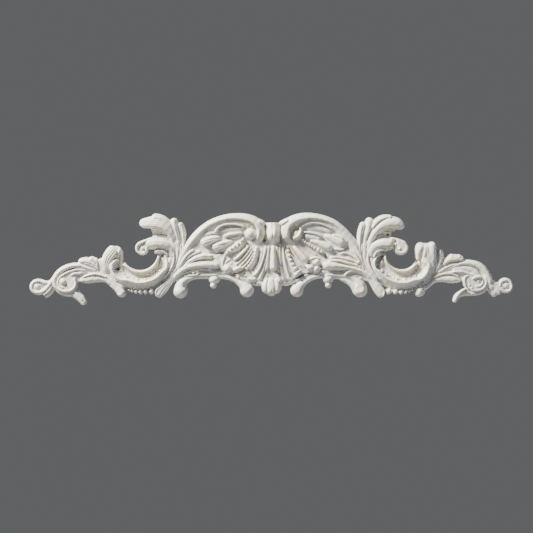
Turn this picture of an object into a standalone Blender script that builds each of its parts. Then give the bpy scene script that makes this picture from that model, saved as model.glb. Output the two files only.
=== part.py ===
"""Rococo pediment onlay: one flat-backed casting of C-scrolls, acanthus leaves and a shell.

The carving is drawn in millimetres on the wall plane. "out" is the distance from the centre line,
"up" is the height above the centre of the back, and "proud" is how far a form stands off the wall.
Each form is a stroke: stations of (out, up, half width, proud), with a smooth line through them.
Forms that the two halves share are drawn once and shifted by hand on the right. The others are drawn
for their own side.
All strokes are melted into one body, which is cut off flat where the wall is.
"""

import math

import bmesh
import bpy
import numpy as np

# Driving sizes, in metres
LENGTH = 0.4836  # from end scroll to end scroll
RELIEF = 0.018  # from the wall to the crest of the knot
LIP = 0.0022  # upright edge where a rounded form meets the wall

# The carving is drawn in millimetres for these sizes, and follows the ones above in proportion
DRAWN_LENGTH = 483.6
DRAWN_RELIEF = 18.0
ACROSS = LENGTH / DRAWN_LENGTH
PROUD = RELIEF / DRAWN_RELIEF

# How finely the body is made
STATIONS = 26  # sections along a stroke
COLUMNS = 16  # faces across a stroke
GRAIN = LENGTH / 620  # cell size in which the strokes melt together
SOFTEN = 1  # passes that round the grain off
FACETS = 9000  # triangles left in the solid
SINK = 4.0  # depth behind the wall plane that the flat cut takes off

RESIN_WHITE = (0.83, 0.82, 0.79, 1.0)


def rounded(across):
    """A half-round section."""
    return np.sqrt(np.clip(1 - across**2, 0, 1))


def flat_topped(across):
    """A broad section with rounded shoulders."""
    return np.clip(1 - np.abs(across) ** 4, 0, 1) ** 0.5


def crowned(across):
    """A broad, gently domed section with rounded shoulders."""
    return np.clip(1 - np.abs(across) ** 2.6, 0, 1) ** 0.5


def scooped(across):
    """A cove: a steep wall under the left edge, and a long slope up to the right one."""
    share = (1 - across) / 2
    return (1 - 0.58 * np.sin(math.pi * np.clip(share, 0, 1) ** 0.58)) * (1 - 0.12 * share)


def sloped(fall):
    """A plain face that tilts. Its left edge, seen along the stroke, is the high one when fall is above 0."""

    def section(across):
        return np.clip(1 - np.abs(across) ** 5, 0, 1) ** 0.5 * (1 - abs(fall) + fall * across)

    return section


def roofed(across):
    """A section with a soft ridge along its middle."""
    return np.clip(1 - np.abs(across) ** 1.5, 0, 1) ** 0.75


def veined(count, depth=0.3):
    """A leaf section: a crowned blade with this many rounded veins side by side."""

    def section(across):
        crown = np.clip(1 - np.abs(across) ** 2.6, 0, 1) ** 0.5
        veins = np.abs(np.sin(count * math.pi * (across + 1) / 2)) ** 0.7
        return crown * (1 - depth + depth * veins)

    return section


def smooth(stations, step=0.05):
    """Dense points on a Catmull-Rom curve through the stations, all four values alike."""
    given = np.array(stations, float)
    padded = np.vstack([2 * given[0] - given[1], given, 2 * given[-1] - given[-2]])
    t = np.arange(0, 1, step)[:, None]
    line = []
    for a, b, c, d in zip(padded, padded[1:], padded[2:], padded[3:]):
        line.append(
            0.5 * (2 * b + (c - a) * t + (2 * a - 5 * b + 4 * c - d) * t**2
                   + (3 * b - a - 3 * c + d) * t**3)
        )
    return np.vstack(line + [given[-1:]])


def coil(centre, angles, radii, half_widths, prouds, ease=2.0, count=14):
    """Stations along a spiral, from the first to the last of each pair. Angles are in degrees."""
    stations = []
    for share in np.linspace(0, 1, count):
        angle = math.radians(angles[0] + (angles[1] - angles[0]) * share)
        radius = radii[1] + (radii[0] - radii[1]) * (1 - share) ** ease
        stations.append((
            centre[0] + radius * math.cos(angle),
            centre[1] + radius * math.sin(angle),
            half_widths[0] + (half_widths[1] - half_widths[0]) * share,
            prouds[0] + (prouds[1] - prouds[0]) * share,
        ))
    return stations


# How the right half departs from the mirrored left one: (out, up) there, and its shift
HAND = (
    ((6, 36), (2, 0)), ((10, 24), (3, 0)), ((20.5, 24.2), (4.2, -0.8)), ((29, 43), (3, 0.5)),
    ((50, 40), (1, 0.4)), ((67, 31), (0.3, 0.5)), ((82, 17), (0, 0.5)), ((44, 35), (3.5, 0)),
    ((55, 29), (5.5, -1)), ((47, 20), (3, 2)), ((72, 15), (1.5, -1)), ((60, 7), (2, -1.6)),
    ((47, 6), (3, -2)), ((28, 17), (3, -1.5)), ((35, -3), (2, -2)), ((14, 9), (3, 0)),
    ((24, -13), (3, -0.6)), ((8, -12), (2.6, 0)), ((44, -12), (1, 2)), ((38, -15), (2, 1)),
    ((19, -21), (2, 1)), ((12, -26), (1, 0)), ((24.3, -33), (1.2, 0)), ((57.5, -24), (-1.5, 0.3)),
    ((50, -7), (0.5, -1)), ((91, -34), (-3.3, 1.2)), ((76, -19), (-1, -0.8)), ((90, -10), (-1, 0)),
    ((113, -38), (-4, 0)), ((103, -27), (-1, 0)), ((33, -26), (-0.2, 0.8)), ((126, -34), (-3, 0)),
    ((150, -36), (-3, 0.5)), ((132, -13), (-1.2, 1.2)), ((132, -27), (0, -0.8)), ((114, 2), (1.5, 0)),
    ((161, -12), (-3.6, 0)), ((150, -5), (-3, 1)), ((153, 12), (-4, 3)), ((165, 8), (-0.6, 4)),
    ((172, 0), (0, 3)), ((132, 35), (0.6, -1.2)), ((118, 42), (1, -0.2)), ((129, 9), (1, -0.4)),
    ((98, 40), (0.5, 0.7)), ((180, 0), (0, 3)), ((192, -3), (-1, 2.5)), ((205, -9), (0, 3)),
    ((217, -20), (0, 0.8)), ((208.8, -22.8), (-2.5, 0.4)), ((196, -28), (-3, 0.5)),
    ((185, -46), (-3.5, 2.5)), ((200, -38), (-1, 1)), ((174, -21), (-1.5, 0)), ((223, -24), (0.4, -1)),
    ((105, -5), (-2.4, 0)), ((236, -20), (-0.5, 1.8)), ((236, -34), (-0.5, 0.2)), ((227, -39), (-2, 0.5)),
)
HAND_REACH = 8.0  # how far around itself each of those shifts carries


def by_hand(points):
    """Move points of the right half by the shifts around them."""
    moved = np.array(points, float)
    where = np.array([spot for spot, shift in HAND], float)
    shifts = np.array([shift for spot, shift in HAND], float)
    apart = ((moved[:, None, :2] - where[None]) ** 2).sum(2)
    weights = np.exp(-apart / (2 * HAND_REACH**2))
    moved[:, :2] += weights @ shifts / (weights.sum(1)[:, None] + 0.05)
    return moved


class Carving:
    """Gathers closed shapes that overlap.

    Side is -1 for left, 1 for right and 0 for the middle. A mirrored carving repeats the left half's
    drawing and shifts it by hand, and one that isn't is drawn where the right half has its own form."""

    def __init__(self, side, mirrored=True):
        self.side = side
        self.mirrored = mirrored
        self.points = []
        self.faces = []

    def add(self, points, faces):
        start = len(self.points)
        if self.side > 0 and self.mirrored:
            points = by_hand(points)
        across = -1 if self.side < 0 else 1
        self.points.extend((across * out, y, up) for out, up, y in points)
        self.faces.extend([start + i for i in (face[::-1] if self.side < 0 else face)] for face in faces)

    def stroke(self, stations, section=rounded, tips=(1, 1)):
        """A swept form. A tip of 1 ends it in a round dome, and one of 0 leaves it square."""
        line = smooth(stations)
        run = np.concatenate([[0], np.cumsum(np.hypot(*np.diff(line[:, :2], axis=0).T))])
        at = run[-1] * (0.5 - 0.5 * np.cos(np.linspace(0, math.pi, STATIONS)))
        out, up, half, proud = (np.interp(at, run, line[:, k]) for k in range(4))
        ahead = np.stack([np.gradient(out, at), np.gradient(up, at)])
        ahead /= np.maximum(np.hypot(*ahead), 1e-9)
        taper = np.ones(STATIONS)
        for tip, distance, end in ((tips[0], at, 0), (tips[1], run[-1] - at, -1)):
            if tip:
                near = np.clip(1 - distance / max(half[end] * tip, 0.1), 0, 1)
                taper *= np.sqrt(np.clip(1 - near**2, 0.0004, 1))
        across = -np.cos(np.linspace(0, math.pi, COLUMNS + 1))
        lip = np.minimum(LIP / PROUD, proud * 0.5)
        points = []
        for i in range(STATIONS):
            rise = lip[i] + (proud[i] - lip[i]) * section(across) * taper[i]
            side = across * half[i] * taper[i]
            row = [(out[i] - ahead[1][i] * s, up[i] + ahead[0][i] * s, -r) for s, r in zip(side, rise)]
            back = [(row[k][0], row[k][1], SINK) for k in (-1, 0)]
            points.extend(row + back)
        ring = COLUMNS + 3
        faces = [list(range(ring))[::-1], [(STATIONS - 1) * ring + k for k in range(ring)]]
        for i in range(STATIONS - 1):
            for k in range(ring):
                after = (k + 1) % ring
                faces.append([i * ring + k, i * ring + after, (i + 1) * ring + after, (i + 1) * ring + k])
        self.add(points, faces)

    def dome(self, out, up, radius, proud, stretch=1.0):
        """A pearl or boss: half an egg standing on an upright foot, drawn out sideways by stretch."""
        rings, sides = 6, 16
        foot = min(LIP / PROUD, proud * 0.5)
        points = []
        for ring in range(rings + 1):
            rise = ring / rings * math.pi / 2
            spread = radius * max(math.cos(rise), 0.01)
            depth = -(foot + (proud - foot) * math.sin(rise))
            if ring == 0:
                levels = ((spread, SINK), (spread, depth))
            else:
                levels = ((spread, depth),)
            for reach, y in levels:
                for side in range(sides):
                    angle = 2 * math.pi * side / sides
                    points.append((out + reach * stretch * math.cos(angle), up + reach * math.sin(angle), y))
        rows = rings + 2
        faces = [list(range(sides))[::-1], [(rows - 1) * sides + k for k in range(sides)]]
        for row in range(rows - 1):
            for k in range(sides):
                after = (k + 1) % sides
                faces.append([row * sides + k, row * sides + after,
                              (row + 1) * sides + after, (row + 1) * sides + k])
        self.add(points, faces)

    def pearls(self, stations, count):
        """Beads along a line, as big as the stations' half widths."""
        line = smooth(stations)
        run = np.concatenate([[0], np.cumsum(np.hypot(*np.diff(line[:, :2], axis=0).T))])
        for at in np.linspace(0, run[-1], count):
            out, up, half, proud = (np.interp(at, run, line[:, k]) for k in range(4))
            self.dome(out, up, half, proud)

    def ground(self, outline, proud):
        """A low plate behind the carving, with a smooth outline."""
        line = smooth([(out, up, 0, 0) for out, up in outline + outline[:1]], 0.25)[:-1, :2]
        count = len(line)
        points = [(out, up, -proud) for out, up in line] + [(out, up, SINK) for out, up in line]
        faces = [list(range(count)), list(range(count, 2 * count))[::-1]]
        faces += [[k, (k + 1) % count, (k + 1) % count + count, k + count][::-1] for k in range(count)]
        self.add(points, faces)


def knot(carving):
    """The band that ties the two crest scrolls together over the shell."""
    carving.stroke([(1.2, 35.4, 7.9, 13), (1.2, 33, 8, 13.6), (1.2, 30.6, 7.8, 14.6), (1.2, 28, 7.6, 16),
                    (1.4, 25.4, 7.3, 17.4), (1.5, 22.8, 7, 18), (1.6, 20.4, 6.7, 16.8),
                    (1.7, 18, 6.4, 13.8), (1.8, 15.4, 6.2, 9.4), (1.8, 12, 6, 5.6)], veined(4, 0.04),
                   tips=(0, 0.6))
    carving.stroke([(-14.4, 38, 2.8, 15.6), (-9.8, 35, 3.2, 15), (-6, 33.4, 3, 13.6)])
    carving.stroke([(18, 38.8, 2.8, 15.6), (12.6, 35.6, 3.2, 15), (8, 33.4, 3, 13.6)])


def crest_scroll(carving):
    """The arch over the shell: a band that rises from the spray, widens and rolls under beside the knot."""
    band = [(95, -12, 1.4, 8), (91.4, -2, 2, 9.4), (87.4, 8, 2.6, 10.8), (82.2, 15.8, 3, 12),
            (74.7, 24.8, 3.1, 13), (67.6, 31, 3.1, 13.8), (59.4, 36.2, 3.1, 14.4), (49.4, 40, 3, 15.2),
            (39.4, 41.8, 3.1, 16), (29, 41.3, 3.7, 16.6), (20, 39.2, 4, 17), (13.4, 34.8, 4.6, 17.2),
            (10.4, 28, 4.4, 17), (11, 21.4, 4.2, 16), (15, 16.8, 3.4, 12), (21.4, 15.4, 2.9, 9.4),
            (26.8, 17.4, 2.3, 8.4)]
    carving.stroke(band, sloped(0.16))
    carving.stroke([(88, 3, 3, 9), (80.4, 13, 3.8, 10), (72.4, 21.4, 4.2, 10.8), (62.4, 29.6, 4.4, 11.4),
                    (50.4, 35, 4.2, 12.2), (38.4, 36.6, 4.4, 13), (28, 35.2, 4.6, 13.6),
                    (19, 31.6, 4, 13.8)], sloped(-0.12))


def scroll_eye_left(carving):
    """The round end of the left crest scroll, beside the knot."""
    carving.dome(21, 24.4, 7.1, 15)
    carving.dome(19.4, 31.4, 4, 12)


def scroll_eye_right(carving):
    """The hooked end of the right crest scroll, beside its hollow."""
    carving.dome(24.8, 24.6, 5.2, 13)
    carving.dome(23, 30, 4, 10.4)
    carving.stroke([(28.6, 31.6, 1.6, 12.4), (29, 27.4, 2.3, 13.8), (27.6, 23.2, 2.8, 14.4),
                    (24.6, 20.8, 2.8, 14.4), (20.4, 19.4, 2.6, 14.2)], crowned)


def shell_ground(carving):
    """The low floor of the shell, and the fine hem between its lobes and the band below."""
    carving.ground([(4, 14), (8, 30), (30, 38), (50, 36), (66, 27), (78, 14), (84, 2), (74, 0), (60, -2),
                    (52, -8), (51, -12), (36, -15), (24, -19), (12, -23), (4, -20)], 8)
    carving.stroke([(25, -15.4, 1.6, 7.4), (31, -17.4, 1.9, 7.6), (37, -17.4, 1.6, 7.4)])
    carving.stroke([(36, -17, 2.4, 7), (44, -16.4, 2.8, 7.2), (52, -14.4, 3.8, 7.4), (60, -14.4, 2.8, 7.2)])
    carving.stroke([(4, -21, 3, 7), (12, -24.6, 3.6, 7.6), (20, -23, 3.6, 7.4), (30, -20, 3.4, 7),
                    (42, -18, 3, 6.8)])


def shell_wing_left(carving):
    """The flutes and lobes of the shell's left half, under the arch."""
    carving.stroke([(26.6, 31.4, 1.1, 12), (33, 33.4, 1.3, 12.8), (41, 34.2, 1.5, 13),
                    (48.4, 33.2, 1.6, 12.8), (53.4, 30.4, 1.9, 12.4), (56, 26.4, 2.4, 12),
                    (57.4, 24, 1.6, 11)])
    carving.stroke([(53, 27, 3, 9.6), (45, 28.6, 4.4, 10.2), (36, 29, 4, 10.6), (28.6, 28.6, 2.6, 10.4)],
                   roofed)
    carving.stroke([(28.4, 25.8, 1.6, 11.6), (36, 24.6, 2.1, 12.4), (43, 23.2, 2.1, 12.4),
                    (48.6, 21, 2, 11.8)])
    carving.stroke([(31, 21.4, 2, 9.6), (38, 20.4, 2.4, 10), (46.4, 17.8, 2.2, 10.2)])
    carving.stroke([(50, 20.4, 2.4, 10), (56, 19.8, 3.9, 12), (64, 17.4, 5, 13), (71.2, 14, 4.4, 13.2)],
                   crowned)
    carving.stroke([(53, 23.6, 1.4, 10), (58, 25.4, 2, 11), (62, 24.6, 2, 11), (67, 22.4, 1.4, 10)])
    carving.stroke([(60, 27.4, 1.4, 10), (66, 24.4, 1.7, 10.4), (71, 20, 1.5, 9.6)])
    carving.stroke([(38, 17.4, 1.6, 10), (46, 15.4, 3.1, 11.4), (53, 12.6, 4.2, 12.6),
                    (60, 9.8, 3.2, 12.2)], crowned)
    carving.stroke([(27, 17, 3, 10), (35, 11.4, 3.6, 11.2), (44, 6, 3.2, 11)], crowned)
    for out, up, radius in ((28.4, 18.8, 2.4), (30.8, 16.8, 2.2), (30.4, 14.6, 1.8), (33.4, 14.6, 2.5),
                            (34.4, 12, 1.9), (36.6, 12.4, 2.3), (38.4, 10, 2.5), (40.8, 9.4, 2.1),
                            (41, 7, 2), (43.4, 7.4, 2.4), (44.8, 5, 2.2)):
        carving.dome(out, up, radius, 12.8)


def shell_wing_right(carving):
    """The broad flute and the lobes of the shell's right half, under the arch."""
    carving.stroke([(29.4, 30.6, 0.9, 12.4), (35, 34, 1.2, 13), (42, 35.4, 1.4, 13.2),
                    (50, 34.2, 1.4, 13), (56, 31.6, 1.3, 12.6), (61, 29, 1.1, 12)])
    carving.stroke([(33, 30, 3.4, 10.4), (42, 31, 4, 10.6), (52, 29, 3.4, 10.6), (60, 25.6, 2.2, 10.4)],
                   flat_topped)
    carving.stroke([(31.4, 26, 1.4, 12.2), (38, 25.6, 1.7, 12.8), (45, 24, 1.7, 12.6),
                    (50.4, 21.6, 1.6, 12)])
    carving.stroke([(32, 22, 3, 11.4), (42, 21, 3.4, 11.2), (50, 18.8, 2.6, 10.8)], flat_topped)
    carving.stroke([(31, 19, 2.6, 10.6), (36, 18, 2.8, 10.8)], flat_topped)
    carving.stroke([(52, 23, 2.4, 10), (58, 21, 3.8, 11.4), (66, 17, 5, 12.8), (73.4, 13, 4.6, 13)],
                   crowned)
    carving.stroke([(60.4, 23.4, 1.4, 11), (66.4, 21.8, 1.5, 11.4), (72, 18.4, 1.4, 10.8)])
    carving.stroke([(62, 9.4, 1.8, 10.4), (68.4, 8.6, 2, 11), (73.6, 8.4, 1.6, 10.4)])
    carving.stroke([(38, 17.6, 1.7, 11), (46, 15.6, 3.4, 12.2), (54, 12, 4.6, 13), (61, 8.8, 3.6, 12.8)],
                   crowned)
    carving.stroke([(31, 13.4, 3.4, 8.6), (38, 7.6, 3.8, 9), (46.6, 1.4, 2.8, 9)])
    for out, up, radius in ((31.4, 18, 1.8), (33.4, 16, 2.1), (35.8, 14.6, 1.9), (38, 13.2, 2.3),
                            (40.4, 11.8, 2), (43, 10, 2.4), (46.4, 7.8, 3), (49.6, 6.4, 2)):
        carving.dome(out, up, radius, 12.8)


def shell_fan_left(carving):
    """The ribs, beaded strings and lobes that hang from the knot in the shell's left half."""
    carving.stroke([(22.4, 12.6, 1.8, 11), (27.4, 6.8, 2.1, 12), (33, 1.4, 2.2, 12.2),
                    (38.4, -2.4, 1.9, 11.4)])
    carving.stroke([(23.4, 8.4, 1.8, 10), (28.4, 2.4, 2.2, 10.2), (33.4, -2.4, 2.4, 10.2)])
    for start, end in (((19.8, 11), (36.6, -7.6)), ((18.2, 9), (33.8, -10)), ((17.4, 6), (30.4, -11.4))):
        middle = ((start[0] + end[0]) / 2 - 1.2, (start[1] + end[1]) / 2 - 0.4)
        carving.stroke([(*start, 1.1, 10.6), (*middle, 1.3, 11.2), (*end, 1.5, 10.6)])
    carving.stroke([(26, -7.6, 2.2, 9.8), (33, -10.4, 3, 11.2), (39, -12.4, 2.8, 11)])
    carving.stroke([(15, 11, 1.8, 9.8), (16.4, 3, 2.3, 10.4), (19, -5, 2.6, 10.4), (23, -10.4, 2.4, 10)])
    for out, up, radius in ((14.8, 10, 2), (16, 6.8, 2.2), (16.4, 3.6, 2), (17.4, 0.6, 2.3),
                            (18.8, -2.6, 2.1), (20.4, -5.4, 2.4), (22.6, -8, 2.3), (24.8, -10.4, 2)):
        carving.dome(out, up, radius, 12.2)
    carving.stroke([(5.8, 12.6, 1.3, 11.2), (7.2, 4, 1.4, 11.8), (9.6, -4, 1.5, 11.8),
                    (12.4, -11, 1.8, 11.2), (16, -16, 2.4, 10.4), (20.2, -17.6, 2.8, 10.2)])
    carving.stroke([(9.2, 10, 1.1, 9.6), (10.6, 2, 1.2, 9.8), (13, -5, 1.2, 9.8),
                    (16.6, -11.4, 1.3, 9.6)])
    carving.stroke([(2.6, 12.4, 1.1, 11), (3.8, 4, 1.2, 11.2), (5.8, -4, 1.3, 10.8),
                    (8.4, -12, 1.7, 10.2), (10.8, -18, 2.6, 10), (11.4, -23.4, 3.6, 10.4)])
    carving.stroke([(14.4, -19.4, 2.4, 9), (19, -21.4, 2.8, 9.4), (24.6, -19.8, 1.8, 9)])
    carving.dome(33.4, -19.4, 1.6, 8.6)


def shell_fan_right(carving):
    """The ribs, the row of big beads and the round-ended finger of the shell's right half."""
    carving.stroke([(21.6, 12.4, 2, 10.6), (27, 6.4, 2.9, 12.4), (32.6, 0.4, 3.6, 13.4),
                    (36.8, -3.6, 3.5, 13.2)], crowned)
    carving.stroke([(18.6, 10, 1.4, 10), (23.4, 3, 1.5, 10.6), (29, -4.4, 1.6, 10.8),
                    (33.6, -9, 1.6, 10.4)])
    carving.stroke([(19.4, 4, 1.1, 9.6), (24, -3, 1.2, 10.2), (29.6, -9, 1.4, 10.2)])
    for out, up, radius in ((16, 11, 1.8), (16.8, 7.2, 2.2), (17.6, 2.6, 2.5), (19, -2, 2.6),
                            (21.4, -6.2, 2.6), (24, -10, 2.8), (27, -13.8, 2.8), (24.6, -16.4, 2.2)):
        carving.dome(out, up, radius, 12, stretch=1.15)
    carving.stroke([(14.4, 9, 1.8, 10), (16.4, 0, 2.2, 10), (20, -8, 2.4, 10), (24, -14.6, 2.6, 9.6)])
    carving.stroke([(11.4, 12.4, 1.2, 10.6), (12, 4, 1.3, 11.2), (13.4, -5, 1.4, 11.2),
                    (15.4, -12.4, 1.6, 10.8), (18, -19.4, 2.4, 10)])
    carving.stroke([(13.6, 8, 1, 9.8), (14, -1, 1.1, 10), (16, -9, 1.2, 10), (19.4, -16, 1.4, 9.6)])
    carving.pearls([(8, 10.4, 1.1, 10.6), (8, 2, 1.2, 10.8), (8.8, -6, 1.2, 10.6)], 12)
    carving.stroke([(8, -8, 1.3, 10.4), (9.4, -14, 1.8, 10.2), (12, -19.4, 2.8, 10.2),
                    (14, -23.4, 3.4, 10.2)])
    carving.stroke([(5.4, -15.4, 1.6, 9.8), (7.6, -20, 2.4, 10), (10.4, -25, 3, 9.8)])
    carving.stroke([(15.4, -17, 2, 9.6), (19, -21, 2.6, 9.6), (22.4, -21.4, 2, 9)])


def shell_tip_left(carving):
    """The ball and thin stems at the outer corner of the shell's left half."""
    carving.dome(44, -10.4, 5.2, 12)
    carving.stroke([(46, 4, 0.9, 9), (47.6, 0.4, 1.2, 9.6), (49, -4.6, 1.3, 9.6), (48.6, -8.4, 1.2, 9)])


def shell_tip_right(carving):
    """The lumps at the outer corner of the shell's right half."""
    carving.stroke([(34, -10.6, 3.4, 10.6), (39.4, -8.6, 4.6, 11.8), (44, -7, 4.4, 12)], crowned)
    carving.dome(44.6, -11.2, 4.2, 12)
    carving.dome(45.4, -4, 3.6, 11.8)
    carving.dome(38.6, -4.4, 2.6, 10.8)
    carving.stroke([(36, -3, 1.6, 9.4), (43, 0.6, 1.6, 9.6), (48.6, -0.8, 1.3, 9.4)])


def shell_middle(carving):
    """The fat middle rib, and the lumpy three-part lobe below it."""
    carving.ground([(-12, 14), (12, 14), (16, -18), (9, -28), (0, -33), (-9, -28), (-14, -18)], 7.4)
    carving.stroke([(1.6, 13.4, 2.8, 11), (1.9, 5, 3.5, 13.2), (2.2, -6, 4.2, 14.4),
                    (2.2, -13.4, 4.2, 14.2)], crowned)
    carving.stroke([(-2.6, 13, 1.1, 10.8), (-3.4, 4, 1.2, 11), (-4.6, -6, 1.4, 10.8), (-6, -14, 1.5, 10)])
    carving.stroke([(-0.2, -18.6, 3.4, 9), (-0.4, -26, 6.2, 11), (-0.2, -32, 6.4, 11.4),
                    (0, -38.4, 5, 10)], crowned)
    for side in (-1, 1):
        carving.stroke([(3 * side, -19.6, 2.8, 9), (5.6 * side, -25.4, 4.2, 10.6),
                        (5.8 * side, -30, 4.2, 10.8), (4 * side, -35.6, 3.4, 9.6)])


def spray(carving):
    """The floor and the outer strands of the acanthus spray between the C-scroll and the shell."""
    carving.ground([(98, -24), (99, -6), (92, 8), (84, 12), (74, 9), (60, 3), (52, -8), (60, -17),
                    (82, -18)], 6.6)
    carving.stroke([(94.4, -12, 1.2, 8.4), (90.4, -5, 1.8, 9.8), (86, 1.4, 2.1, 10.8), (81.4, 6, 2, 10.8),
                    (76.8, 8.8, 1.6, 9.8)])
    carving.stroke([(89.4, -6.4, 1, 8.6), (83.4, 0.4, 1.4, 10), (77.4, 4.2, 1.7, 10.2),
                    (70.4, 7.2, 1.7, 9.6)])
    carving.stroke([(88.4, -8.4, 0.9, 8.6), (82, -2, 1.3, 9.6), (75.4, 1.8, 1.3, 9.6), (69.4, 4, 1, 9)])


def spray_left(carving):
    """The left spray: a long smooth blade with a second over it and an oval curl under it."""
    blade = [(99.4, -21.6, 2, 8), (95.4, -17, 2.7, 9.4), (89.4, -12, 3.2, 10.6), (81.4, -8.4, 3.6, 11.6),
             (72.4, -6.9, 3.9, 12), (62.4, -6.6, 4, 12), (52, -7.6, 3.2, 11)]
    carving.stroke(blade, crowned)
    upper = [(88, -8.4, 1.4, 8.6), (82.4, -4, 2.1, 10), (75.4, -0.4, 2.6, 11), (67.4, 1.8, 3, 11.2),
             (58.4, 1.4, 2.4, 10)]
    carving.stroke(upper, crowned)
    carving.stroke([(88.4, -14, 1.2, 8.4), (81.4, -11, 1.5, 9.4), (71.4, -10.8, 1.6, 9.4),
                    (61.6, -12.2, 1.5, 9)])
    carving.stroke([(92.4, -17, 1.2, 7.6), (86.4, -14.4, 1.4, 9), (79.4, -12.4, 1.6, 9.6),
                    (73.8, -13.4, 1.6, 9.4), (73.4, -16, 1.2, 9), (78, -17, 1.2, 8.6),
                    (84, -16.6, 1, 8.2)])
    carving.dome(78, -14.8, 1.8, 9.6, stretch=1.6)


def spray_right(carving):
    """The right spray: a fat rounded tip, a leaf of three strands over it and a dished one under it."""
    blade = [(101, -23, 2, 8), (96, -18, 2.6, 9.4), (90, -13.6, 2.8, 10.4), (82, -10.6, 2.9, 11.2),
             (72, -8.8, 3.2, 11.6), (64, -7.8, 4.2, 12.2), (57, -7.4, 4.6, 12.4), (51, -8, 4, 11.6)]
    carving.stroke(blade, crowned)
    carving.stroke([(90, -9.8, 1.2, 8.6), (82.4, -6.6, 1.7, 10), (74.4, -4.4, 1.9, 11),
                    (66.4, -2.6, 2, 11.2), (56.4, -3, 2.4, 11)])
    carving.stroke([(88, -6, 1.2, 8.8), (81, -2.6, 1.6, 9.8), (73.4, -0.6, 1.7, 10.4),
                    (65.4, 1.2, 1.7, 10.4), (57.4, -0.4, 1.5, 9.6)])
    carving.stroke([(86, -2, 1, 9), (79, 3.6, 1.7, 10), (72.4, 5.4, 2, 10.4), (67.6, 3.6, 1.6, 10)])
    carving.dome(87, -4, 1.5, 11.4)
    carving.stroke([(93, -17.4, 1.2, 8), (86.4, -13.8, 1.5, 9.4), (79.4, -13, 1.7, 10.2),
                    (74.4, -15.8, 1.9, 10), (73.6, -18.6, 1.3, 9)])
    carving.stroke([(92, -18.8, 1.8, 7), (84, -17, 2.6, 7), (77, -17.6, 2, 6.8)])


def festoon(carving):
    """The arched band between two round feet under the spray, with its pendant."""
    arm = [(91.2, -40.6, 6.9, 9), (91.4, -33, 7, 10), (90, -26, 5.6, 9.4), (85.4, -21.4, 4.1, 8.4),
           (77.4, -19, 2.6, 7.4), (65.4, -18.6, 2.4, 7), (54.4, -18.4, 2.4, 7), (44.4, -19.2, 2.6, 7),
           (36.4, -22, 3, 7.6), (30, -26.4, 4, 8.6), (25.6, -31, 6, 10), (24.4, -39.4, 6, 9)]
    carving.stroke(arm)
    carving.dome(91, -33, 7, 11.4)
    carving.dome(24.5, -32.4, 7, 11)
    carving.dome(57.4, -21.6, 4.6, 9.5, stretch=1.28)
    carving.dome(58.2, -27.4, 3.3, 8.5)


def feet_right(carving):
    """The dished face of the right arch's outer foot, and the plain sweep that leads to it."""
    carving.stroke([(68, -20.4, 1.8, 7), (75.4, -23, 2.8, 7.6), (81.4, -27.4, 3.4, 8.4),
                    (85.4, -32.6, 4, 9)])
    carving.dome(87.8, -31.4, 7, 11)


def c_scroll(carving):
    """The big C: a cove between two rims, with a beaded string in it, and a sloping flank outside."""
    eye = (131.6, 6.2)
    carving.ground([(148, -16), (149.4, -4), (150, 8), (156, 12), (164, 4), (168, -8), (164, -20),
                    (156, -24)], 6.6)
    carving.stroke(coil(eye, (-176, -36), (24.6, 25), (6.4, 6.6), (9, 9), count=10), scooped, tips=(0, 0))
    carving.stroke([(112.2, 3, 1.1, 8),
                    *coil(eye, (-162, -44), (19.4, 20.2), (1.2, 1.2), (10.6, 10.6), count=10),
                    (149, -6, 1.2, 9)])
    carving.stroke([(107.2, 3.4, 1.6, 9), (104.4, -3, 2, 10.6), (105.2, -10.4, 2.1, 11.4),
                    *coil(eye, (-140, -66), (30.4, 31), (2.1, 2.1), (12.6, 12.6), count=6),
                    (151.4, -21.6, 2.2, 12.4), (156.9, -16.9, 2.2, 12), (159.4, -11.5, 2.3, 12),
                    (158.6, -5.8, 2.4, 12)])
    carving.stroke(coil(eye, (-172, -24), (33.4, 34.6), (3.6, 3.8), (11, 11), count=10),
                   sloped(0.42 if carving.side > 0 else 0.34))
    carving.pearls(coil(eye, (-150, -44), (26.6, 27.4), (1.1, 1.4), (8.2, 7.8), count=8), 11)
    for turn, radius, size in ((-136, 27.4, 1.7), (-124, 27.6, 1.4), (-101, 28, 1.9), (-84, 28, 1.6),
                               (-60, 28.2, 1.7)):
        angle = math.radians(turn)
        carving.dome(eye[0] + radius * math.cos(angle), eye[1] + radius * math.sin(angle), size, 9)
    carving.stroke([(98.6, 8, 1.1, 10), (97.6, 0, 1.3, 10), (99.4, -8, 1.4, 10), (104.4, -16, 1.3, 9),
                    (111, -22.6, 1, 8)])


def horn(carving):
    """The root of the horn at the outer end of the C, rolled over its inner edge."""
    carving.stroke([(150, -12, 2.6, 7), (151.4, -3, 3, 8), (152.4, 5, 3.6, 9), (153.4, 10, 3, 9.4)])
    carving.stroke([(152.4, -1, 1.8, 10), (157, -3.4, 2.3, 11.4), (160.4, -8.4, 2.4, 12),
                    (160, -13.4, 2, 11.4)])


def horn_left(carving):
    """The broad face of the left horn, with a turned inner edge and fine streaks."""
    face = [(164.4, -16, 2.4, 8), (165.6, -8, 4.4, 10), (163.6, 0, 6, 11.8), (158.8, 6.4, 6.6, 12.8),
            (155.4, 10.6, 4.9, 12.4)]
    carving.stroke(face, flat_topped, tips=(1, 0.5))
    carving.stroke([(151.4, 10, 1.8, 11.6), (152.6, 5.6, 1.6, 11.4), (155, 0.6, 1.6, 10.6)])
    carving.stroke([(158.6, 11.6, 1.5, 12.4), (163, 8.6, 1.5, 12), (167, 4, 1.5, 11)])
    carving.stroke([(166.4, -17, 1.9, 7.5), (169.8, -8, 2.8, 8.6), (170.6, 0, 2.6, 9.4)], veined(2, 0.2))
    carving.dome(155.4, 1.4, 3.2, 10)


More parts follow.
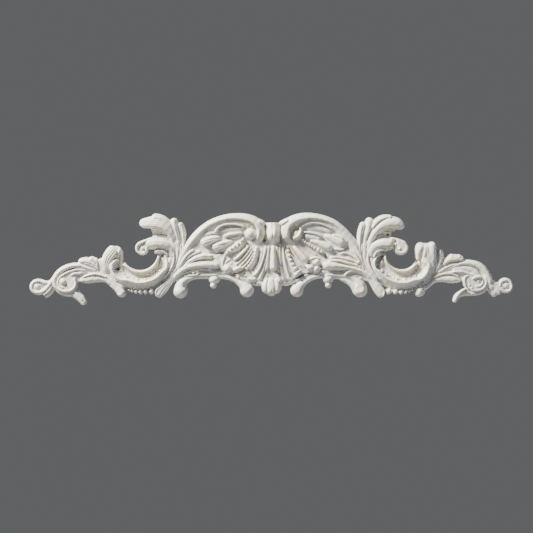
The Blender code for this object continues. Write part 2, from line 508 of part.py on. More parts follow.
def horn_right(carving):
    """The right horn: a broad face with two soft lobes, and a small leaf beside it."""
    carving.stroke([(163.4, -16, 2.6, 8), (162.6, -7, 4.4, 10.4), (159.4, 1, 7, 12),
                    (155.4, 7.6, 9.6, 12.6), (154.4, 15, 9.2, 12.2)], crowned, tips=(1, 0.5))
    carving.stroke([(147, -3, 2.4, 9), (147, 3, 3.4, 10.6), (148.8, 9, 5, 13), (150.4, 15.9, 5, 12.6)],
                   crowned)
    carving.stroke([(162, -4, 3, 11), (161.4, 3, 4, 12.8), (160.8, 10, 4.8, 13.6),
                    (160.4, 16.5, 4.2, 12.8)], crowned)
    carving.stroke([(153, -1, 3, 11.2), (153.4, 6, 3.6, 13), (153.8, 14, 3.4, 12.8)])
    carving.stroke([(165, -14, 1.8, 8), (168, -5, 3.4, 9.8), (168.8, 2.6, 3.9, 10.6),
                    (168.4, 9, 2.8, 10.2)], roofed)
    carving.stroke([(149.4, -1.6, 1.8, 10), (153.4, -4.6, 2.6, 11.6), (156.6, -8.6, 2.2, 11)])


def crest_leaf(carving):
    """The stems and back lobes of the tall leaf over the C."""
    carving.ground([(104, -14), (112, -6), (108, 8), (119, 22), (112, 36), (98, 36), (88, 28), (86, 12),
                    (90, -8)], 7)
    carving.stroke([(91.6, 4, 1.8, 8), (93.4, 17, 2.8, 10), (95.8, 28, 3.8, 11.4),
                    (98.6, 40.2, 4.6, 11.4)], roofed)
    carving.stroke([(89, 4, 1.6, 8), (88, 15, 2.4, 9.5), (88.8, 25, 3.1, 10.4), (92, 35.8, 3.2, 10.4)],
                   roofed)
    carving.stroke([(95.4, 18, 2.2, 9.5), (93.8, 6, 2.4, 9), (95.6, -4, 2.4, 8.5), (100.4, -13, 2.4, 8),
                    (108.4, -21, 2, 7)])
    carving.stroke([(90.6, 15, 1.6, 9), (90.8, 4, 1.8, 8.5), (93.6, -6, 1.8, 8.2), (99, -15, 1.8, 7.6)])
    carving.stroke([(120.2, 26.4, 2.4, 8), (112.4, 27.4, 3.2, 8.6), (104.4, 22.4, 2.8, 8.6)])


def crest_leaf_left(carving):
    """The left crest leaf: one broad blade with fine streaks that turns over at its tip."""
    blade = [(95.6, 5, 2.2, 8.5), (97, 15, 3.4, 10), (99.8, 24.4, 5, 12.4), (105.4, 32, 6.8, 14.4),
             (113.4, 35.8, 7.4, 15.4), (121.4, 35.6, 6, 15.2), (127.4, 35, 5, 14.4),
             (132.4, 34.4, 4.4, 13.4)]
    carving.stroke(blade, sloped(-0.1))
    carving.stroke([(102, 33, 4, 12.4), (108.4, 38, 4.4, 13.4), (114.4, 40.4, 4.2, 13.8),
                    (120.2, 41, 3.4, 13.4)])
    carving.stroke([(121.4, 30.2, 1.1, 10), (117, 29.2, 1.3, 11.6), (112.4, 28.6, 1.2, 11.4),
                    (106, 26, 1, 11)])


def crest_leaf_right(carving):
    """The right crest leaf: a smooth wing with one deep crease and a curled under-edge."""
    wing = [(96, 5, 2.2, 8.5), (98, 14, 3.2, 10), (102, 23.4, 4.4, 12), (108.6, 31, 5.4, 13.8),
            (117, 35, 6.8, 15), (124.4, 34.8, 6.4, 14.8), (129, 32.8, 5, 13.8), (132.8, 30.2, 3.6, 12.6)]
    carving.stroke(wing, crowned)
    carving.stroke([(100, 29, 2.6, 12), (105, 36, 3.4, 13.4), (112, 40, 3.6, 14), (121.4, 40.4, 3, 13.8)])
    carving.stroke([(98.4, 10, 1, 9.4), (101, 18, 1.2, 10.6), (106, 25, 1.4, 11.4),
                    (113, 28.2, 1.3, 11.4), (120.4, 28, 1.3, 11)])
    carving.dome(122.2, 28.4, 1.8, 10.6)
    carving.stroke([(120, 24, 1.6, 9), (116, 26, 1.6, 10), (111.4, 25.4, 1.3, 10)])


def curled_leaf_left(carving):
    """The left middle leaf, which ends in a small volute over the mouth of the C."""
    eye = (129.4, 9.6)
    body = [(98.4, 0, 2.4, 9), (100.6, 8.4, 4.2, 10.6), (107, 13.8, 6, 13), (115.4, 15, 6.6, 14),
            (122.4, 14.2, 5.8, 13), (127, 12.6, 4.4, 11.6)]
    carving.stroke(body, crowned)
    carving.ground([(123.4, 9.6), (125, 14), (129.4, 15.8), (134, 14), (135.4, 9.6), (134, 5.4),
                    (129.4, 3.6), (125, 5.2)], 9.8)
    carving.stroke([(112.4, 21.2, 1.2, 10.5), (118.4, 20.2, 1.4, 11.4),
                    (124.6, 17.8, 1.6, 11.8)] + coil(eye, (78, -215), (5.8, 4.5), (1.9, 1.8), (11.8, 11),
                                                     ease=1.2, count=10))
    carving.dome(128.7, 9.6, 3, 12)
    carving.stroke([(117.4, 5.4, 1.7, 10), (113, 7.2, 2.3, 11), (107.6, 6.4, 2.4, 10.8),
                    (103.4, 2.4, 2, 9.8)])


def curled_leaf_right(carving):
    """The right middle leaf: a fat rounded lobe, and a flat volute behind it."""
    eye = (129.2, 10.4)
    body = [(98.4, 0, 2.4, 9), (100.4, 8, 4, 10.8), (105.4, 13, 5.4, 13), (112, 14.4, 5.9, 14.2),
            (118.6, 13.8, 6.2, 14), (124, 13, 5.6, 13)]
    carving.stroke(body, crowned)
    carving.ground([(122.6, 10), (124, 15.4), (129.2, 17.6), (134.4, 15), (136, 10), (134, 5),
                    (129.2, 3.4), (124.4, 5)], 11)
    carving.stroke([(118, 20.2, 1.4, 9.6), (124.4, 18.8, 1.8, 10.8)] + coil(eye, (62, -190), (5.8, 5.2),
                                                                            (2.3, 2), (11.8, 11.6),
                                                                            ease=1, count=10))
    carving.dome(127.8, 9.2, 3, 12.4)
    carving.stroke([(116, 7.4, 1.6, 10.4), (110, 8.4, 2, 11.6), (104.6, 5.6, 2, 11),
                    (101.8, 0, 1.7, 10.4)])


def feet_of_c(carving):
    """The pointed foot, the row of pearls and the round foot under the C."""
    carving.stroke([(97, -18, 2.4, 8), (102.8, -24, 3.8, 8.2), (108.6, -30, 5.2, 8.6),
                    (112, -35, 4.6, 8.4), (113, -40, 2.6, 8)], flat_topped)
    carving.stroke([(97.4, -11, 2.4, 8), (102.4, -19, 2.6, 8.2), (108.4, -25.4, 2.4, 7.8)])
    carving.stroke([(117, -32, 1.3, 4), (130, -33, 1.3, 4), (144, -31.4, 1.2, 4)])
    for out, up, radius in ((120.4, -33.4, 3.2), (126.3, -33.8, 2.8), (131.4, -34, 2.5),
                            (135.9, -33.8, 2.1), (139.8, -33, 1.7), (143, -32, 1.35)):
        carving.dome(out, up, radius, radius + 6, stretch=0.82)
    carving.stroke([(172.4, -16, 2.2, 7), (165.8, -21.4, 2.8, 7), (159.4, -27, 3, 7.4),
                    (154, -31.4, 3.6, 8), (150.6, -35, 4.6, 9), (149.4, -39.6, 3.6, 8.8)])
    carving.stroke([(171.4, -9, 2, 7), (165.4, -18, 2.8, 7.4), (157.4, -25.4, 2.8, 7.2),
                    (147.4, -30.6, 2.4, 6.4)])


def foot_of_c_right(carving):
    """The fat round end of the outer foot under the right C."""
    carving.dome(148.8, -33.4, 5.3, 9.6)


def tail_leaves(carving):
    """The long leaf under the tail, between the C and the swan-necked scroll."""
    carving.ground([(160, -24), (166, -4), (176, -2), (192, -6), (206, -14), (200, -24), (184, -22),
                    (172, -20)], 6.6)
    carving.stroke([(158.4, -26.4, 2.2, 6.5), (166.4, -22.2, 2.6, 7), (174.4, -20.6, 3.8, 8),
                    (183.4, -21.4, 4.2, 8.6), (192.4, -22.4, 2.6, 8)], crowned)
    carving.stroke([(164.4, -19.4, 1.1, 8), (173.4, -16.4, 1.3, 9), (180.4, -16.4, 1.4, 9.4),
                    (189.6, -19.6, 1.2, 9)])


def tail_leaf_left(carving):
    """The upper leaf of the left tail, with a turned inner edge."""
    carving.stroke([(174.4, -9.6, 1.4, 8.6), (174.8, -4, 1.6, 9.6), (176.4, 0.2, 1.6, 9.8)])
    carving.stroke([(172.4, -12, 2, 8), (178.4, -6.6, 4, 9.4), (184.4, -3.8, 4.6, 10),
                    (189.4, -3.4, 3.8, 9.8), (193.6, -4.4, 2.4, 9)], crowned)
    carving.stroke([(175.4, -6, 2, 9), (179, -1.6, 3, 10), (183, -0.8, 2.6, 10)])


def tail_leaf_right(carving):
    """The upper leaf of the right tail: a lumpy lobe over a deep cove."""
    carving.stroke([(171.4, -8, 1.8, 8.4), (175.6, -3, 3.4, 10), (181, -0.8, 4.4, 11),
                    (187.4, -0.8, 4.2, 10.8), (193, -1.6, 2.6, 10)], crowned)
    carving.dome(180.4, 1, 3.2, 11.2)
    carving.dome(187.6, 0.8, 3, 11)
    carving.stroke([(166.4, -14.4, 1.4, 8.4), (174.4, -9.6, 1.8, 9), (182.4, -6.4, 2, 9.2),
                    (190, -5.2, 1.9, 9.2)])


def swan_floor(carving):
    """The low plate of the swan-necked scroll, and its plain underside."""
    carving.dome(207.4, -24.4, 12.4, 7.6)
    carving.ground([(196, -19), (204, -16), (212, -19), (214.6, -26), (209, -31.6), (200, -31.6),
                    (195.6, -26)], 8.6)
    carving.stroke([(217, -27, 1.6, 6.5), (213.4, -33.4, 2, 7), (207.4, -36, 2.4, 7),
                    (199.4, -36, 3, 6.8)])


def swan_scroll_left(carving):
    """The left round scroll: a fat eye in two rings, and the strings that feed it."""
    carving.stroke([(174.4, -12.8, 1.8, 7.6), (182.4, -10.4, 2.4, 8.8), (190.4, -8, 2.9, 9.8),
                    (198.4, -7.8, 3, 10.6), (206.4, -10.2, 3.2, 10.8), (212.8, -14.8, 3.4, 10.4),
                    (217, -21.2, 3.2, 10), (216.6, -27.4, 2.6, 9.6), (212.4, -31.8, 2.2, 9.6),
                    (206, -33.4, 2.1, 9.6), (199.6, -31.8, 2.1, 9.8), (196.2, -27.4, 2, 9.8),
                    (196.4, -22.8, 1.7, 9.4), (199, -20, 1.4, 9)])
    carving.stroke([(186, -12.4, 1.4, 9), (193.4, -11.6, 1.7, 9.6), (200.4, -13, 1.8, 10),
                    (207, -16, 1.9, 10.2), (212, -19.6, 1.8, 10.2), (213.6, -24.4, 1.5, 9.8),
                    (211, -28.8, 1.4, 9.6), (206, -30, 1.3, 9.2)])
    carving.stroke([(189, -15.4, 1.5, 8.8), (196, -15.6, 1.8, 9.4), (201.6, -17.8, 1.7, 9.8)])
    carving.stroke([(184, -12.6, 2.4, 8.4), (194, -13.6, 3, 8.8), (203, -15.4, 3, 9), (210, -22, 3, 9)],
                   flat_topped)
    carving.dome(208.6, -23.6, 5, 11.4)
    carving.dome(201.6, -25, 4.4, 8.6)


def swan_scroll_right(carving):
    """The right round scroll: a broad plain band, an eye under a bright lid, and an ear loop."""
    carving.stroke([(172.4, -12.8, 1.6, 7.6), (181.4, -8.6, 2.2, 8.8), (191.4, -5, 2.9, 10),
                    (199.4, -5.2, 3.4, 10.8), (207.4, -7.8, 3.9, 11), (213.8, -13.4, 4.1, 10.8),
                    (217.8, -20.6, 3.7, 10.2), (218.6, -27.4, 2.8, 9.2)], crowned)
    carving.stroke([(180, -12.6, 2.4, 8.8), (191, -10.4, 3, 9), (201, -12, 3.4, 9), (208, -18, 3.4, 9)],
                   flat_topped)
    carving.stroke([(172, -16.4, 1.3, 8.4), (179.4, -14.6, 1.5, 9.4), (188.4, -13.4, 1.7, 10),
                    (196.4, -15.2, 1.7, 10), (201.4, -18.2, 1.6, 10)])
    carving.stroke([(213, -16.6, 1.4, 9.4), (214.6, -22.4, 1.6, 9.8), (213.4, -28, 1.6, 9.8),
                    (209, -31.6, 1.5, 9.6), (203, -32.6, 1.5, 9.4), (198.6, -31, 1.4, 9.2)])
    carving.stroke([(210.6, -20, 1.2, 9.6), (211, -24.6, 1.3, 9.8), (208, -28, 1.3, 9.8),
                    (203, -28.4, 1.3, 9.6)])
    carving.dome(207, -23.4, 4.2, 9.8)
    carving.stroke([(200.6, -22.4, 1.5, 10.4), (202.6, -19.8, 1.9, 11.2), (207, -18.9, 1.9, 11.2),
                    (210.6, -20.2, 1.4, 10.2)])
    carving.stroke([(198.4, -17.8, 1.4, 9.4), (194.4, -18.4, 1.7, 9.8), (192.8, -21.8, 1.8, 10),
                    (193.4, -26, 1.8, 9.8), (195, -29.4, 1.5, 9.4)])
    carving.stroke([(198, -21, 1.6, 9), (197.4, -24, 1.7, 9.2), (199, -28, 1.6, 9)])
    carving.dome(196.6, -30, 3, 8.4)


def spur_left(carving):
    """The square-ended spur below the left swan-necked scroll."""
    carving.stroke([(203, -31.6, 5.4, 7), (196.6, -35.8, 5, 7.6), (191.2, -40.4, 4.3, 7.8),
                    (186.6, -46.6, 3.2, 7.4)], crowned, tips=(1, 0.6))
    carving.stroke([(198, -33, 1.3, 8.4), (193, -37.6, 1.5, 8.8), (188.4, -43.4, 1.2, 8.4)])


def spur_right(carving):
    """The slender curved spur below the right swan-necked scroll, and two beads beside its ear."""
    carving.stroke([(205, -33, 4, 6.4), (197, -34.6, 3.6, 7), (190.4, -35.6, 3.1, 8),
                    (185.6, -39, 2.8, 8), (183, -44.8, 2, 7.4)])
    carving.stroke([(194.4, -30.6, 1.1, 9), (188.4, -34.6, 1.3, 9.4), (184.4, -40, 1.1, 8.8)])
    carving.dome(197.8, -27, 1.9, 10)
    carving.dome(200.2, -29.8, 1.7, 10)


def end_scroll(carving):
    """The strands that join the swan-necked scroll to the little volute at the tip."""
    carving.dome(234.4, -28.4, 6.4, 5)
    carving.ground([(229, -25), (234, -23), (239, -26), (239.6, -31), (235, -34), (230, -33)], 6.9)
    carving.stroke([(217.4, -21.6, 2, 6), (224.4, -26.4, 3, 6.4), (231.4, -28, 3, 6)])


def end_scroll_left(carving):
    """The left volute: a smooth comma over a hooked strand."""
    eye = (234.8, -28.6)
    carving.stroke([(216.4, -17.4, 2, 8), (220.6, -24.6, 2.6, 8.6), (226, -31.6, 2.8, 8.6),
                    (231.6, -34.4, 2.7, 8.6), (237.4, -34, 2.4, 8.6), (240.2, -29.4, 2.3, 8.8),
                    (238.2, -24.4, 2.2, 8.8), (233, -23, 2.1, 8.6), (227.4, -24.6, 2, 8.2),
                    (222.4, -25, 1.8, 7.6)])
    carving.dome(*eye, 4.8, 8.8)
    carving.stroke([(217.6, -28.4, 2, 6.4), (222, -34.4, 2.6, 6.8), (227.4, -39, 2.2, 6.4)])
    carving.stroke([(218.8, -27, 1.3, 7.8), (223.8, -33.8, 1.6, 8.2), (229, -37.2, 1.5, 7.8)])


def end_scroll_right(carving):
    """The right volute: a plain ring round a shallow eye with a little hole."""
    eye = (234.4, -27.8)
    carving.stroke([(217.4, -20.6, 2.2, 8), (220.8, -27.4, 2.8, 8.2), (225, -33.6, 3, 8.2),
                    (230, -35.2, 2.4, 8.2)])
    carving.stroke([(216.6, -22, 2.6, 8.6), (219, -27.4, 3, 8.8), (221.4, -32, 2.4, 8.4)], crowned)
    carving.ground([(219, -24), (223, -24.8), (228, -24), (232, -26), (232, -31), (227, -33), (222, -31)],
                   8)
    carving.stroke(coil(eye, (200, -170), (5.9, 5.7), (2.2, 2), (8.8, 8.6), ease=1, count=12))
    carving.dome(*eye, 4.4, 8.8)
    carving.stroke([(217.6, -29.4, 2, 6.4), (221, -34.4, 2.8, 7), (225, -38.4, 2.4, 6.8)])


SHARED = (crest_scroll, shell_ground, spray, festoon, c_scroll, horn, crest_leaf, feet_of_c,
          tail_leaves, swan_floor, end_scroll)

LEFT_ONLY = (scroll_eye_left, shell_wing_left, shell_fan_left, shell_tip_left, spray_left,
             crest_leaf_left, curled_leaf_left, horn_left, tail_leaf_left, swan_scroll_left, spur_left,
             end_scroll_left)
RIGHT_ONLY = (scroll_eye_right, shell_wing_right, shell_fan_right, shell_tip_right, spray_right,
              feet_right, crest_leaf_right, curled_leaf_right, horn_right, foot_of_c_right,
              tail_leaf_right, swan_scroll_right, spur_right, end_scroll_right)


def all_carvings():
    """The two halves and the middle, each drawn on its own side."""
    carvings = []
    for side, own_forms in ((-1, LEFT_ONLY), (1, RIGHT_ONLY)):
        carving = Carving(side)
        for form in SHARED:
            form(carving)
        own = Carving(side, mirrored=False)
        for form in own_forms:
            form(own)
        carvings += [carving, own]
    middle = Carving(0)
    knot(middle)
    shell_middle(middle)
    return carvings + [middle]


def carved_mesh(name):
    """Both halves and the middle as one mesh of overlapping closed shapes, in metres."""
    points, faces = [], []
    for carving in all_carvings():
        start = len(points)
        points += [(x * ACROSS, y * PROUD, z * ACROSS) for x, y, z in carving.points]
        faces += [[start + i for i in face] for face in carving.faces]
    mesh = bpy.data.meshes.new(name)
    mesh.from_pydata(points, [], faces)
    return mesh


def block(name, low, high):
    """A plain box between two corners."""
    mesh = bpy.data.meshes.new(name)
    bm = bmesh.new()
    bmesh.ops.create_cube(bm, size=1.0)
    for vert in bm.verts:
        vert.co = [low[k] if vert.co[k] < 0 else high[k] for k in range(3)]
    bm.to_mesh(mesh)
    bm.free()
    placed = bpy.data.objects.new(name, mesh)
    bpy.context.scene.collection.objects.link(placed)
    return placed


def faces_of(subject):
    """How many triangles the object has with its modifiers so far."""
    seen = subject.evaluated_get(bpy.context.evaluated_depsgraph_get()).to_mesh()
    return sum(len(polygon.vertices) - 2 for polygon in seen.polygons)


def satin_resin():
    material = bpy.data.materials.new("off-white satin resin")
    material.use_nodes = True
    shader = material.node_tree.nodes["Principled BSDF"]
    shader.inputs["Base Color"].default_value = RESIN_WHITE
    shader.inputs["Roughness"].default_value = 0.45
    return material


def make_casting():
    casting = bpy.data.objects.new("pediment_casting", carved_mesh("pediment_casting"))
    bpy.context.scene.collection.objects.link(casting)
    melt = casting.modifiers.new("melt", "REMESH")
    melt.mode = "VOXEL"
    melt.voxel_size = GRAIN
    soften = casting.modifiers.new("soften", "SMOOTH")
    soften.factor = 0.5
    soften.iterations = SOFTEN
    thin = casting.modifiers.new("thin", "DECIMATE")
    thin.ratio = FACETS / faces_of(casting)
    behind = block("wall_cut", (-LENGTH, 0, -LENGTH), (LENGTH, RELIEF, LENGTH))
    behind.hide_render = True
    behind.display_type = "WIRE"
    flatten = casting.modifiers.new("flat back", "BOOLEAN")
    flatten.operation = "DIFFERENCE"
    flatten.solver = "EXACT"
    flatten.object = behind
    casting.data.materials.append(satin_resin())
    return casting


for old in list(bpy.data.objects):
    bpy.data.objects.remove(old)
make_casting()
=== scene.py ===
"""The looks of the rococo pediment onlay: its full relief, its satin resin skin, light and camera.

The relief is drawn in millimetres on the wall plane, as the solid is. "out" is the distance from the
centre line, "up" the height above the centre of the back, and "proud" how far a form stands off the
wall. A form is a stroke: stations of (out, up, half width, proud), with a smooth line through them.
The strokes are melted into one skin. Creases and pits are then cut into it point by point, narrow gaps
are partly filled, and it takes on the waviness of hand modelling. Last it is fitted to the solid's box.
"""

import math

import bmesh
import bpy
import numpy as np
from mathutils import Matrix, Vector


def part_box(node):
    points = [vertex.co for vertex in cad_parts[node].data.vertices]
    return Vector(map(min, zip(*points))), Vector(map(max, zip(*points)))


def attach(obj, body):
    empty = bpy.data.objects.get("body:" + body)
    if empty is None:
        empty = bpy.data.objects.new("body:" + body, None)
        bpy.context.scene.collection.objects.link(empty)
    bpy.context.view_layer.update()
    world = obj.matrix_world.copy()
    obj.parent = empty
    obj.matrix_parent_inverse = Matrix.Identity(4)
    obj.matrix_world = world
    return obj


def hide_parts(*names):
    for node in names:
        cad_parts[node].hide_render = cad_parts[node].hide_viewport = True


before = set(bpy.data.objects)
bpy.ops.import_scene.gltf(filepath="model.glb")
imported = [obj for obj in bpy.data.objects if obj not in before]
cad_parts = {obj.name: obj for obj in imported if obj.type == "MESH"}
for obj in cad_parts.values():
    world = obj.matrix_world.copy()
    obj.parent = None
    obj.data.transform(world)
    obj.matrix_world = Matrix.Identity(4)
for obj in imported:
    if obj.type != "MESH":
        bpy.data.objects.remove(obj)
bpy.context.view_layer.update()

NODE = "pediment_casting"
LOW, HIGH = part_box(NODE)

# The casting's edge and back, in millimetres
LIP = 2.0  # upright edge where a rounded form meets the wall
LIP_SHARE = 0.5  # on a low form, the most that this edge takes of its height
SINK = 4.0  # depth behind the wall plane that the flat cut takes off

# How finely the skin is made
STATIONS = 44  # sections along a stroke
COLUMNS = 26  # faces across a stroke
BLUNT = 0.02  # share of its width that a round tip keeps at its very end
RINGS = 12  # rings from a dome's foot to its top
SIDES = 32  # faces round a dome
GRAIN = 0.4  # cell size in which the strokes melt together, in mm
SOFTEN = 4  # passes that round the grain off
WELD = 0.1 * GRAIN  # points nearer than this are joined
FACETS = 185000  # triangles kept
BATCH = 4000  # points handled at a time
BACK_EDGE = math.radians(75)  # a turn this sharp, as round the flat back, stays crisp
INSET = 0.0001  # how far inside the solid's box the skin stays, in metres

# How cuts go into the skin, in millimetres
FINEST_CUT = 0.6  # least half width of a cut beside a path
LEFT_STANDING = 1.0  # no cut goes nearer to the wall than this
SHARE_STANDING = 0.35  # and each leaves at least this share of a form's height

# The mould's softened corners and the wear of the surface, in millimetres
CELL = 0.5  # side of the squares in which heights are gathered
GAP_REACH = 1.8  # what is lower than its surroundings within this reach lies in a narrow gap
FILLING = 0.42  # share of a narrow gap's depth that the softened corners take up
DEEPEST_GAP = 6  # depth beyond which a gap fills no further
FINE_REACH = 1.5  # surroundings that tell small hollows and crests
BROAD_REACH = 4.0  # surroundings that tell large ones
FULL_MARK = 2.2  # height difference that counts as a full hollow or crest
EDGE_COVER = 0.6  # share of casting around a point at which it stops counting as outline
COVER_SPAN = 0.3  # further share over which it comes to count as inside
EDGE_RISE = 2  # height over the lip at which a point counts as inside

# Slow waves of the hand-cut surface: length across and up, starting angle and height, in mm
WAVES = ((13.0, 17.0, 0.4, 0.10), (7.3, -9.1, 2.1, 0.07), (4.1, 5.7, 4.0, 0.045), (-3.1, 3.7, 1.2, 0.03))
WAVE_RISE = 4  # height off the wall at which the waves reach their full size

# The camera, in metres
DISTANCE = 1.8
VIEW = 0.533  # width of wall in the picture
LOOK_AT = (-0.0049, -0.005, -0.0085)  # the spot straight in front of it


def rounded(across):
    """A half-round section."""
    return np.sqrt(np.clip(1 - across**2, 0, 1))


def flat_topped(across):
    """A broad section with rounded shoulders."""
    return np.clip(1 - np.abs(across) ** 4, 0, 1) ** 0.5


def crowned(across):
    """A broad, gently domed section with rounded shoulders."""
    return np.clip(1 - np.abs(across) ** 2.6, 0, 1) ** 0.5


def scooped(across):
    """A cove: a steep wall under the left edge, and a long slope up to the right one."""
    share = (1 - across) / 2
    return (1 - 0.58 * np.sin(math.pi * np.clip(share, 0, 1) ** 0.58)) * (1 - 0.12 * share)


def sloped(fall):
    """A plain face that tilts. Fall above 0 raises its left edge, seen along the stroke."""

    def section(across):
        return np.clip(1 - np.abs(across) ** 5, 0, 1) ** 0.5 * (1 - abs(fall) + fall * across)

    return section


def roofed(across):
    """A section with a soft ridge along its middle."""
    return np.clip(1 - np.abs(across) ** 1.5, 0, 1) ** 0.75


def veined(count, depth=0.3):
    """A leaf section: a crowned blade with this many rounded veins side by side."""

    def section(across):
        veins = np.abs(np.sin(count * math.pi * (across + 1) / 2)) ** 0.7
        return crowned(across) * (1 - depth + depth * veins)

    return section


def smooth(stations, step=0.05):
    """Dense points on a Catmull-Rom curve through the stations, all four values alike."""
    given = np.array(stations, float)
    padded = np.vstack([2 * given[0] - given[1], given, 2 * given[-1] - given[-2]])
    t = np.arange(0, 1, step)[:, None]
    line = []
    for a, b, c, d in zip(padded, padded[1:], padded[2:], padded[3:]):
        line.append(
            0.5 * (2 * b + (c - a) * t + (2 * a - 5 * b + 4 * c - d) * t**2
                   + (3 * b - a - 3 * c + d) * t**3)
        )
    return np.vstack(line + [given[-1:]])


def measured(stations):
    """The smooth line through the stations, with the distance run at each of its points."""
    line = smooth(stations)
    return line, np.concatenate([[0], np.cumsum(np.hypot(*np.diff(line[:, :2], axis=0).T))])


def beside(stations, aside, share, depth):
    """A cut that runs beside a path, moved sideways by aside half widths, a share of them wide."""
    line, run = measured(stations)
    way = np.gradient(line[:, :2], axis=0)
    way /= np.maximum(np.hypot(way[:, 0], way[:, 1])[:, None], 1e-9)
    moved = np.column_stack([
        line[:, 0] - way[:, 1] * aside * line[:, 2],
        line[:, 1] + way[:, 0] * aside * line[:, 2],
        np.maximum(line[:, 2] * share, FINEST_CUT),
        np.full(len(line), depth),
    ])
    return moved[::6]  # sparse enough to be smoothed once more


def coil(centre, angles, radii, half_widths, prouds, ease=2.0, count=14):
    """Stations along a spiral, from the first to the last of each pair. Angles are in degrees."""
    stations = []
    for share in np.linspace(0, 1, count):
        angle = math.radians(angles[0] + (angles[1] - angles[0]) * share)
        radius = radii[1] + (radii[0] - radii[1]) * (1 - share) ** ease
        stations.append((
            centre[0] + radius * math.cos(angle),
            centre[1] + radius * math.sin(angle),
            half_widths[0] + (half_widths[1] - half_widths[0]) * share,
            prouds[0] + (prouds[1] - prouds[0]) * share,
        ))
    return stations


def joined(rings, around):
    """Faces that join rings of this many points each into a closed form, with a cap at both ends."""
    faces = [list(range(around))[::-1], [(rings - 1) * around + k for k in range(around)]]
    for ring in range(rings - 1):
        for k in range(around):
            after = (k + 1) % around
            faces.append([ring * around + k, ring * around + after,
                          (ring + 1) * around + after, (ring + 1) * around + k])
    return faces


# How the right half departs from the mirrored left one: (out, up) there, and its shift
HAND = (
    ((6, 36), (2, 0)), ((10, 24), (3, 0)), ((20.5, 24.2), (4.2, -0.8)), ((29, 43), (3, 0.5)),
    ((50, 40), (1, 0.4)), ((67, 31), (0.3, 0.5)), ((82, 17), (0, 0.5)), ((44, 35), (3.5, 0)),
    ((55, 29), (5.5, -1)), ((47, 20), (3, 2)), ((72, 15), (1.5, -1)), ((60, 7), (2, -1.6)),
    ((47, 6), (3, -2)), ((28, 17), (3, -1.5)), ((35, -3), (2, -2)), ((14, 9), (3, 0)),
    ((24, -13), (3, -0.6)), ((8, -12), (2.6, 0)), ((44, -12), (1, 2)), ((38, -15), (2, 1)),
    ((19, -21), (2, 1)), ((12, -26), (1, 0)), ((24.3, -33), (1.2, 0)), ((57.5, -24), (-1.5, 0.3)),
    ((50, -7), (0.5, -1)), ((91, -34), (-3.3, 1.2)), ((76, -19), (-1, -0.8)), ((90, -10), (-1, 0)),
    ((113, -38), (-4, 0)), ((103, -27), (-1, 0)), ((33, -26), (-0.2, 0.8)), ((126, -34), (-3, 0)),
    ((150, -36), (-3, 0.5)), ((132, -13), (-1.2, 1.2)), ((132, -27), (0, -0.8)), ((114, 2), (1.5, 0)),
    ((161, -12), (-3.6, 0)), ((150, -5), (-3, 1)), ((153, 12), (-4, 3)), ((165, 8), (-0.6, 4)),
    ((172, 0), (0, 3)), ((132, 35), (0.6, -1.2)), ((118, 42), (1, -0.2)), ((129, 9), (1, -0.4)),
    ((98, 40), (0.5, 0.7)), ((180, 0), (0, 3)), ((192, -3), (-1, 2.5)), ((205, -9), (0, 3)),
    ((217, -20), (0, 0.8)), ((208.8, -22.8), (-2.5, 0.4)), ((196, -28), (-3, 0.5)),
    ((185, -46), (-3.5, 2.5)), ((200, -38), (-1, 1)), ((174, -21), (-1.5, 0)), ((223, -24), (0.4, -1)),
    ((105, -5), (-2.4, 0)), ((236, -20), (-0.5, 1.8)), ((236, -34), (-0.5, 0.2)), ((227, -39), (-2, 0.5)),
)
HAND_REACH = 8.0  # how far around itself each of those shifts carries
HAND_HOLD = 0.05  # weight of the drawing as it stands, which wins where no shift is near


def by_hand(points):
    """Move points of the right half by the shifts around them."""
    moved = np.array(points, float)
    where = np.array([spot for spot, shift in HAND], float)
    shifts = np.array([shift for spot, shift in HAND], float)
    for start in range(0, len(moved), BATCH):
        part = moved[start:start + BATCH]
        apart = ((part[:, None, :2] - where[None]) ** 2).sum(2)
        weights = np.exp(-apart / (2 * HAND_REACH**2))
        part[:, :2] += weights @ shifts / (weights.sum(1)[:, None] + HAND_HOLD)
    return moved


